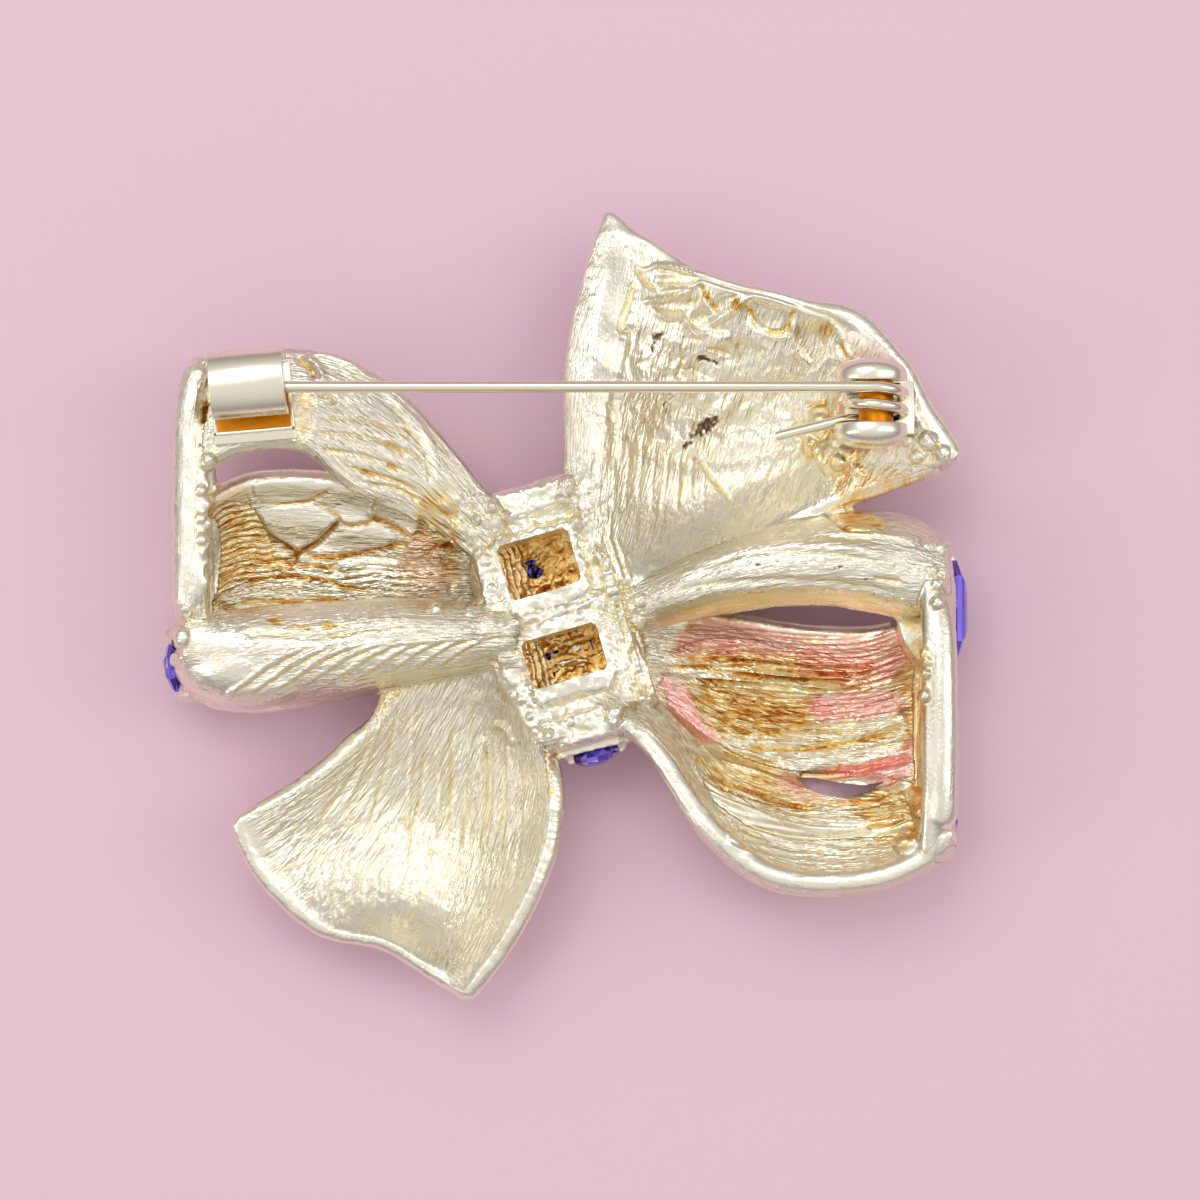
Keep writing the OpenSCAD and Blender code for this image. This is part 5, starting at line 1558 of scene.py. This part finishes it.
def make_pin():
    """The pin, from its tip along the stem and around the coil to the end of its leg, as one wire."""
    tip = [[x, STEM_Y, HINGE[2] + COIL_RADIUS] for x in TIP_X + TIP_LENGTH * np.linspace(0, 1, 24)]
    stem = [[x, STEM_Y, HINGE[2] + COIL_RADIUS]
            for x in np.linspace(TIP_X + TIP_LENGTH, HINGE[0] - COIL_START, 40)[1:]]
    bend = [HINGE + [x, COIL_HALF, COIL_RADIUS] for x in (-1.6, -0.8)]
    coil = [HINGE + coil_point(t) for t in np.linspace(0, 1, 110)]
    leg = [HINGE + [-x, -COIL_HALF, -COIL_RADIUS] for x in (0.5, 1.1, LEG_START - 0.2)]
    leg += [HINGE + [-LEG_START - math.cos(LEG_TURN) * x, -COIL_HALF - math.sin(LEG_TURN) * x, -COIL_RADIUS]
            for x in np.linspace(0.2, LEG_LENGTH - LEG_START, 20)]
    path = np.array(tip + stem + bend + coil + leg)
    radii = np.full(len(path), WIRE_RADIUS)
    radii[:len(tip)] = mix(0.09, WIRE_RADIUS, smoothstep(0, 1, np.linspace(0, 1, len(tip))) ** 0.8)
    radii[0] = 0.04
    radii[-1] = WIRE_RADIUS * 0.82
    pin = Parts()
    pin.add(*swept(path, radii))
    finished(smooth_object("pin_and_coil", pin), "pin", WIRE, "pin_wire")


def revolved(profile, sides=72):
    """A closed turned form about Y from a list of radius and height."""
    profile = np.array(profile, float)
    turns = circle(sides)
    rings = [np.stack([r * np.cos(turns), np.full(sides, y), r * np.sin(turns)], -1) for r, y in profile]
    n = len(rings)
    verts = np.concatenate(rings)
    index = np.arange(n * sides).reshape(n, sides)
    quads = np.stack([index[:-1], index[1:], np.roll(index[1:], -1, 1), np.roll(index[:-1], -1, 1)],
                     -1).reshape(-1, 4)
    return verts, quads


def make_ears():
    """The hinge's two domed ears, on blocks that stand on its base."""
    side_top = EAR_RIM - 0.25
    profile = [(0.001, 0), (EAR_RADIUS - 0.1, 0), (EAR_RADIUS - 0.03, 0.03), (EAR_RADIUS, 0.1),
               (EAR_RADIUS, side_top)]
    profile += [(EAR_RADIUS * math.cos(a) ** 0.7, side_top + (EAR_DOME + 0.25) * math.sin(a))
                for a in np.linspace(0.05, math.pi / 2 - 0.001, 26)]
    ears = Parts()
    for side in (1, -1):
        verts, quads = revolved(profile)
        verts[:, 1] = side * (verts[:, 1] + EAR_INSIDE)
        verts[:, 0] = verts[:, 0] * EAR_SPREAD + EAR_SHIFT
        ears.add(verts + HINGE, quads if side > 0 else quads[:, ::-1])
        verts, faces = box((2.1 * EAR_RADIUS, EAR_RIM, HINGE[2] - HINGE_FLOOR),
                           (-0.35, side * (EAR_INSIDE + EAR_RIM / 2), (HINGE_FLOOR - HINGE[2]) / 2))
        ears.add(verts + HINGE, faces)
    fitting("hinge_ears", ears, 50)


def make_bracket():
    """The hinge's base and its low back wall."""
    bracket = Parts()
    half = EAR_INSIDE + 0.5 * EAR_RIM
    reach = COIL_RADIUS + WIRE_RADIUS + 0.12
    for size, at in [
            ((EAR_RADIUS + reach + HINGE_SHEET, 2 * half, HINGE_SHEET),
             ((reach + HINGE_SHEET - EAR_RADIUS) / 2, 0, HINGE_FLOOR + HINGE_SHEET / 2)),
            ((HINGE_SHEET, 2 * EAR_INSIDE, 0.2 * COIL_RADIUS),
             (reach + HINGE_SHEET / 2, 0, HINGE_FLOOR + COIL_RADIUS / 10))]:
        verts, faces = box(size, at)
        bracket.add(verts + [HINGE[0], HINGE[1], 0], faces)
    fitting("hinge_bracket", bracket, 40, 0.08)


def at_catch(points):
    return turn_z(points, CATCH_TURN) + [CATCH_X, STEM_Y, 0]


def make_hood():
    """The catch's rolled hood, which the pin's tip lies in."""
    turns = np.radians(np.linspace(0, 200, 60))
    outline = [[CATCH_OUTER * math.cos(a), CATCH_OUTER * math.sin(a)] for a in turns]
    outline += [[CATCH_RADIUS * math.cos(a), CATCH_RADIUS * math.sin(a)] for a in turns[::-1]]
    drop = HOOD_LEVEL - CATCH_FLOOR
    outline += [[CATCH_RADIUS, -drop], [CATCH_OUTER, -drop]]
    hood = Parts()
    verts, faces = prism(outline, -CATCH_LENGTH / 2, CATCH_LENGTH / 2)
    verts = verts[:, [2, 0, 1]] * [1, HOOD_SPREAD, 1] + [0, HOOD_SHIFT, HOOD_LEVEL]
    hood.add(at_catch(verts), faces)
    fitting("catch_hood", hood, 40, 0.05)


def make_tray():
    """The catch's base with its rims, and a thin sheet on its floor that carries the painted amber reflection.
    """
    span = CATCH_LENGTH / 2 + CATCH_LIP
    width = 2 * CATCH_OUTER + CATCH_LEDGE
    sill = -CATCH_OUTER - 0.62 * CATCH_LEDGE
    wing = -CATCH_OUTER / 2 - sill
    tall = CATCH_SHEET + 0.3
    tray = Parts()
    for size, at in [
            ((2 * span, width, CATCH_SHEET), (0, -CATCH_LEDGE / 2, CATCH_SHEET / 2)),
            ((2 * span, CATCH_LIP, tall), (0, sill + CATCH_LIP / 2, tall / 2)),
            ((CATCH_LIP, wing, tall), (span - CATCH_LIP / 2, sill + wing / 2, tall / 2)),
            ((CATCH_LIP, wing, tall), (CATCH_LIP / 2 - span, sill + wing / 2, tall / 2))]:
        verts, faces = box(size, np.array(at) + [0, 0, CATCH_FLOOR])
        tray.add(at_catch(verts), faces)
    fitting("catch_tray", tray, 40, 0.06)
    sheet = Parts()
    verts, faces = box((2 * (span - CATCH_LIP) - 0.06, -sill - CATCH_LIP, 0.06),
                       (0, (sill + CATCH_LIP) / 2, CATCH_FLOOR + CATCH_SHEET + 0.02))
    sheet.add(at_catch(verts), faces)
    fitting("catch_channel", sheet, 35, metal=AMBER_REFLECTION_METAL)


make_pin()
make_ears()
make_bracket()
make_hood()
make_tray()
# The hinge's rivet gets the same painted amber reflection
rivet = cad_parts["hinge_rivet"].data.materials
rivet.clear()
rivet.append(AMBER_REFLECTION_METAL)

# Stones: step-cut, each facet painted its own lighter or darker shade as painted facet light
STEPS = [[0.58, -0.2], [0.72, -0.165], [0.87, -0.11], [1, -0.04], [1, 0.04], [0.72, 0.168], [0.44, 0.298],
         [0.14, 0.44]]


def step_cut(length, width, seed):
    side = min(length, width)
    rings = []
    for share, level in STEPS:
        ring = []
        outline = cut_outline(length * share, width * share)
        for i, (x, y) in enumerate(outline):
            after = outline[(i + 1) % 8]
            ring += [[x, y, level * side], [(x + after[0]) / 2, (y + after[1]) / 2, level * side]]
        rings.append(ring)
    n, verts, faces = 16, sum(rings, []), []
    for r in range(len(rings) - 1):
        for i in range(n):
            a, b, c, d = r * n + i, r * n + (i + 1) % n, (r + 1) * n + (i + 1) % n, (r + 1) * n + i
            faces += [[a, b, c], [a, c, d]] if (r + i) % 2 else [[a, b, d], [b, c, d]]
    faces = [list(range(n))[::-1]] + faces + [[(len(rings) - 1) * n + i for i in range(n)]]
    # Random lighter and darker facets: painted facet light
    facet_light = np.random.default_rng(seed).random(len(faces)) ** 1.4
    return np.array(verts, float), faces, facet_light


def add_stone(name, verts, faces, facet_light):
    mesh = bpy.data.meshes.new(name + "_cut")
    mesh.from_pydata((verts * MM).tolist(), [], faces)
    facet = mesh.attributes.new("facet", "FLOAT", "FACE")
    facet.data.foreach_set("value", facet_light.astype(np.float32))
    finished(linked(name + "_cut", mesh), "brooch", GLASS, name)


for seed, (name, seat, length, width) in enumerate(STONES):
    verts, faces, facet_light = step_cut(length, width, seed + 3)
    add_stone(name, at_seat(verts, seat), faces, facet_light)


def foil_sheet(end, seed, steps, spots, shards):
    """The back of a knot stone as its opening shows it, covered with crumpled foil, stepped along one side."""
    n = 60
    size, at = OPENINGS[end]
    u, w = np.meshgrid(np.linspace(-1, 1, n), np.linspace(-1, 1, n), indexing="ij")
    x, y = u * (size[0] / 2 + 0.02), w * (size[1] / 2 + 0.02)
    p = np.stack([x, y, np.zeros_like(x)], -1)
    bend = u + 0.06 * noise2(x, y * 1.6, seed + 5)
    stair = sum(smoothstep(step - 0.05, step + 0.03, bend) for step in steps)
    # Painted highlights along the foil's steps, and on its shards below
    pale = sum(np.exp(-((bend - step + 0.03) / 0.035) ** 2) for step in steps)
    z = (KNOT_LEDGE + 0.95 - 0.24 * stair + 0.1 * fbm(p / 0.5, seed, 3)
         + 0.25 * np.clip(1 - np.hypot(u, w), 0, 1))
    bare = sum(np.clip(1.75 - np.hypot((x - a) / b, (y - c) / d), 0, 1) for a, c, b, d in spots)
    for a, c, b, d, turn in shards:
        q = math.radians(turn)
        over = np.hypot(((x - a) * math.cos(q) + (y - c) * math.sin(q)) / b,
                        ((y - c) * math.cos(q) - (x - a) * math.sin(q)) / d)
        shape = smoothstep(1.1, 0.8, over + 0.25 * noise2(x * 5, y * 5, seed + 9))
        pale, z = np.maximum(pale, shape), z + 0.12 * shape
    verts = np.stack([x + at[0], y + at[1], z], -1).reshape(-1, 3)
    index = np.arange(n * n).reshape(n, n)
    quads = np.stack([index[:-1, :-1], index[1:, :-1], index[1:, 1:], index[:-1, 1:]], -1).reshape(-1, 4)
    return verts, quads, np.clip(bare, 0, 1).reshape(-1), np.clip(pale, 0, 1).reshape(-1)


# For each knot stone: the steps of its foil, the spots where the foil has come off, and its shards
for end, name, steps, spots, shards in [
        (1, "knot_stone_upper", (-0.88, -0.72, -0.56, -0.38),
         [(-0.45, 0.12, 0.3, 0.5), (-0.2, -0.1, 0.42, 0.24), (-0.5, 0.62, 0.32, 0.1)],
         [(0.0, 0.72, 0.4, 0.07, 35), (0.55, 0.45, 0.08, 0.06, 0)]),
        (-1, "knot_stone_lower", (-0.8, -0.62, -0.5),
         [(-0.95, 0.5, 0.16, 0.22), (-0.45, 0.6, 0.2, 0.08), (1.85, 0.45, 0.07, 0.4), (-0.9, -0.7, 0.07, 0.14)],
         [(0.3, -0.3, 1.0, 0.2, -8), (0.9, 0.5, 0.3, 0.25, 30), (-0.7, -0.5, 0.25, 0.1, 20)])]:
    verts, faces, facet_light = step_cut(KNOT_STONE, KNOT_STONE, 20 + end)
    placed = at_knot(verts + [0, 0, KNOT_GIRDLE], end * STONE_PITCH / 2)
    keep = [k for k, face in enumerate(faces) if np.mean([verts[i][2] for i in face]) < 0.05 * KNOT_STONE]
    add_stone(name, placed, [faces[k] for k in keep], facet_light[keep])
    verts, quads, bare, pale = foil_sheet(end, 40 + end, steps, spots, shards)
    mesh = mesh_of(name + "_foil", at_knot(verts, end * STONE_PITCH / 2) * MM, [quads])
    mesh.polygons.foreach_set("use_smooth", np.ones(len(quads), bool))
    keep_number(mesh, "bare", bare)
    keep_number(mesh, "fold_highlight", pale)
    finished(linked(name + "_foil", mesh), "brooch", FOIL, name)

# Floor, light and camera
floor_mesh = bpy.data.meshes.new("floor")
reach = 0.6
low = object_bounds()[0][2] - 0.00002
corners = [(-reach, -reach, low), (reach, -reach, low), (reach, reach, low), (-reach, reach, low)]
floor_mesh.from_pydata(corners, [], [(0, 1, 2, 3)])
floor = linked("floor", floor_mesh)
material, tree, shader = tree_of("pale_floor")
shader.inputs["Base Color"].default_value = (0.82, 0.575, 0.695, 1)
shader.inputs["Roughness"].default_value = 0.85
floor_mesh.materials.append(material)

world = bpy.data.worlds.new("studio")
bpy.context.scene.world = world
world.use_nodes = True
tree = world.node_tree
sky = tree.nodes["Background"]
split = tree.nodes.new("ShaderNodeSeparateXYZ")
tree.links.new(node(tree, "ShaderNodeTexCoord").outputs["Generated"], split.inputs[0])
shade = ramp_of(tree, split.outputs["Z"], [
    (0.0, (0.30, 0.28, 0.26)), (0.25, (0.50, 0.48, 0.455)), (0.6, (0.82, 0.805, 0.78)),
    (0.9, (1.0, 0.985, 0.96)), (1.0, (1.0, 0.985, 0.96))])
tree.links.new(shade, sky.inputs["Color"])
sky.inputs["Strength"].default_value = 0.8


def softbox(name, at, size, watts, color=(1, 1, 1)):
    light = bpy.data.lights.new(name, "AREA")
    light.shape = "RECTANGLE"
    light.size, light.size_y = size
    light.energy = watts
    light.color = color
    obj = bpy.data.objects.new(name, light)
    bpy.context.scene.collection.objects.link(obj)
    obj.location = at
    obj.rotation_euler = (-Vector(at)).to_track_quat("-Z", "Y").to_euler()


softbox("soft_key", (-0.08, 0.16, 0.36), (0.24, 0.18), 0.3)
softbox("soft_fill", (0.26, 0.02, 0.30), (0.12, 0.30), 0.18, (1, 0.98, 0.95))
softbox("soft_side", (-0.30, -0.10, 0.22), (0.12, 0.26), 0.15, (1, 0.97, 0.94))
bpy.context.scene.view_settings.view_transform = "Standard"

elevation = math.radians(ELEVATION)
direction = Vector((0, -math.cos(elevation), math.sin(elevation)))
camera = bpy.data.objects.new("camera", bpy.data.cameras.new("camera"))
bpy.context.scene.collection.objects.link(camera)
camera.location = Vector(TARGET) * MM + direction * (EYE_DISTANCE * MM)
camera.rotation_euler = (-direction).to_track_quat("-Z", "Y").to_euler()
camera.data.angle = 2 * math.atan(HALF_VIEW / EYE_DISTANCE)
camera.data.clip_start = 0.005
bpy.context.scene.camera = camera
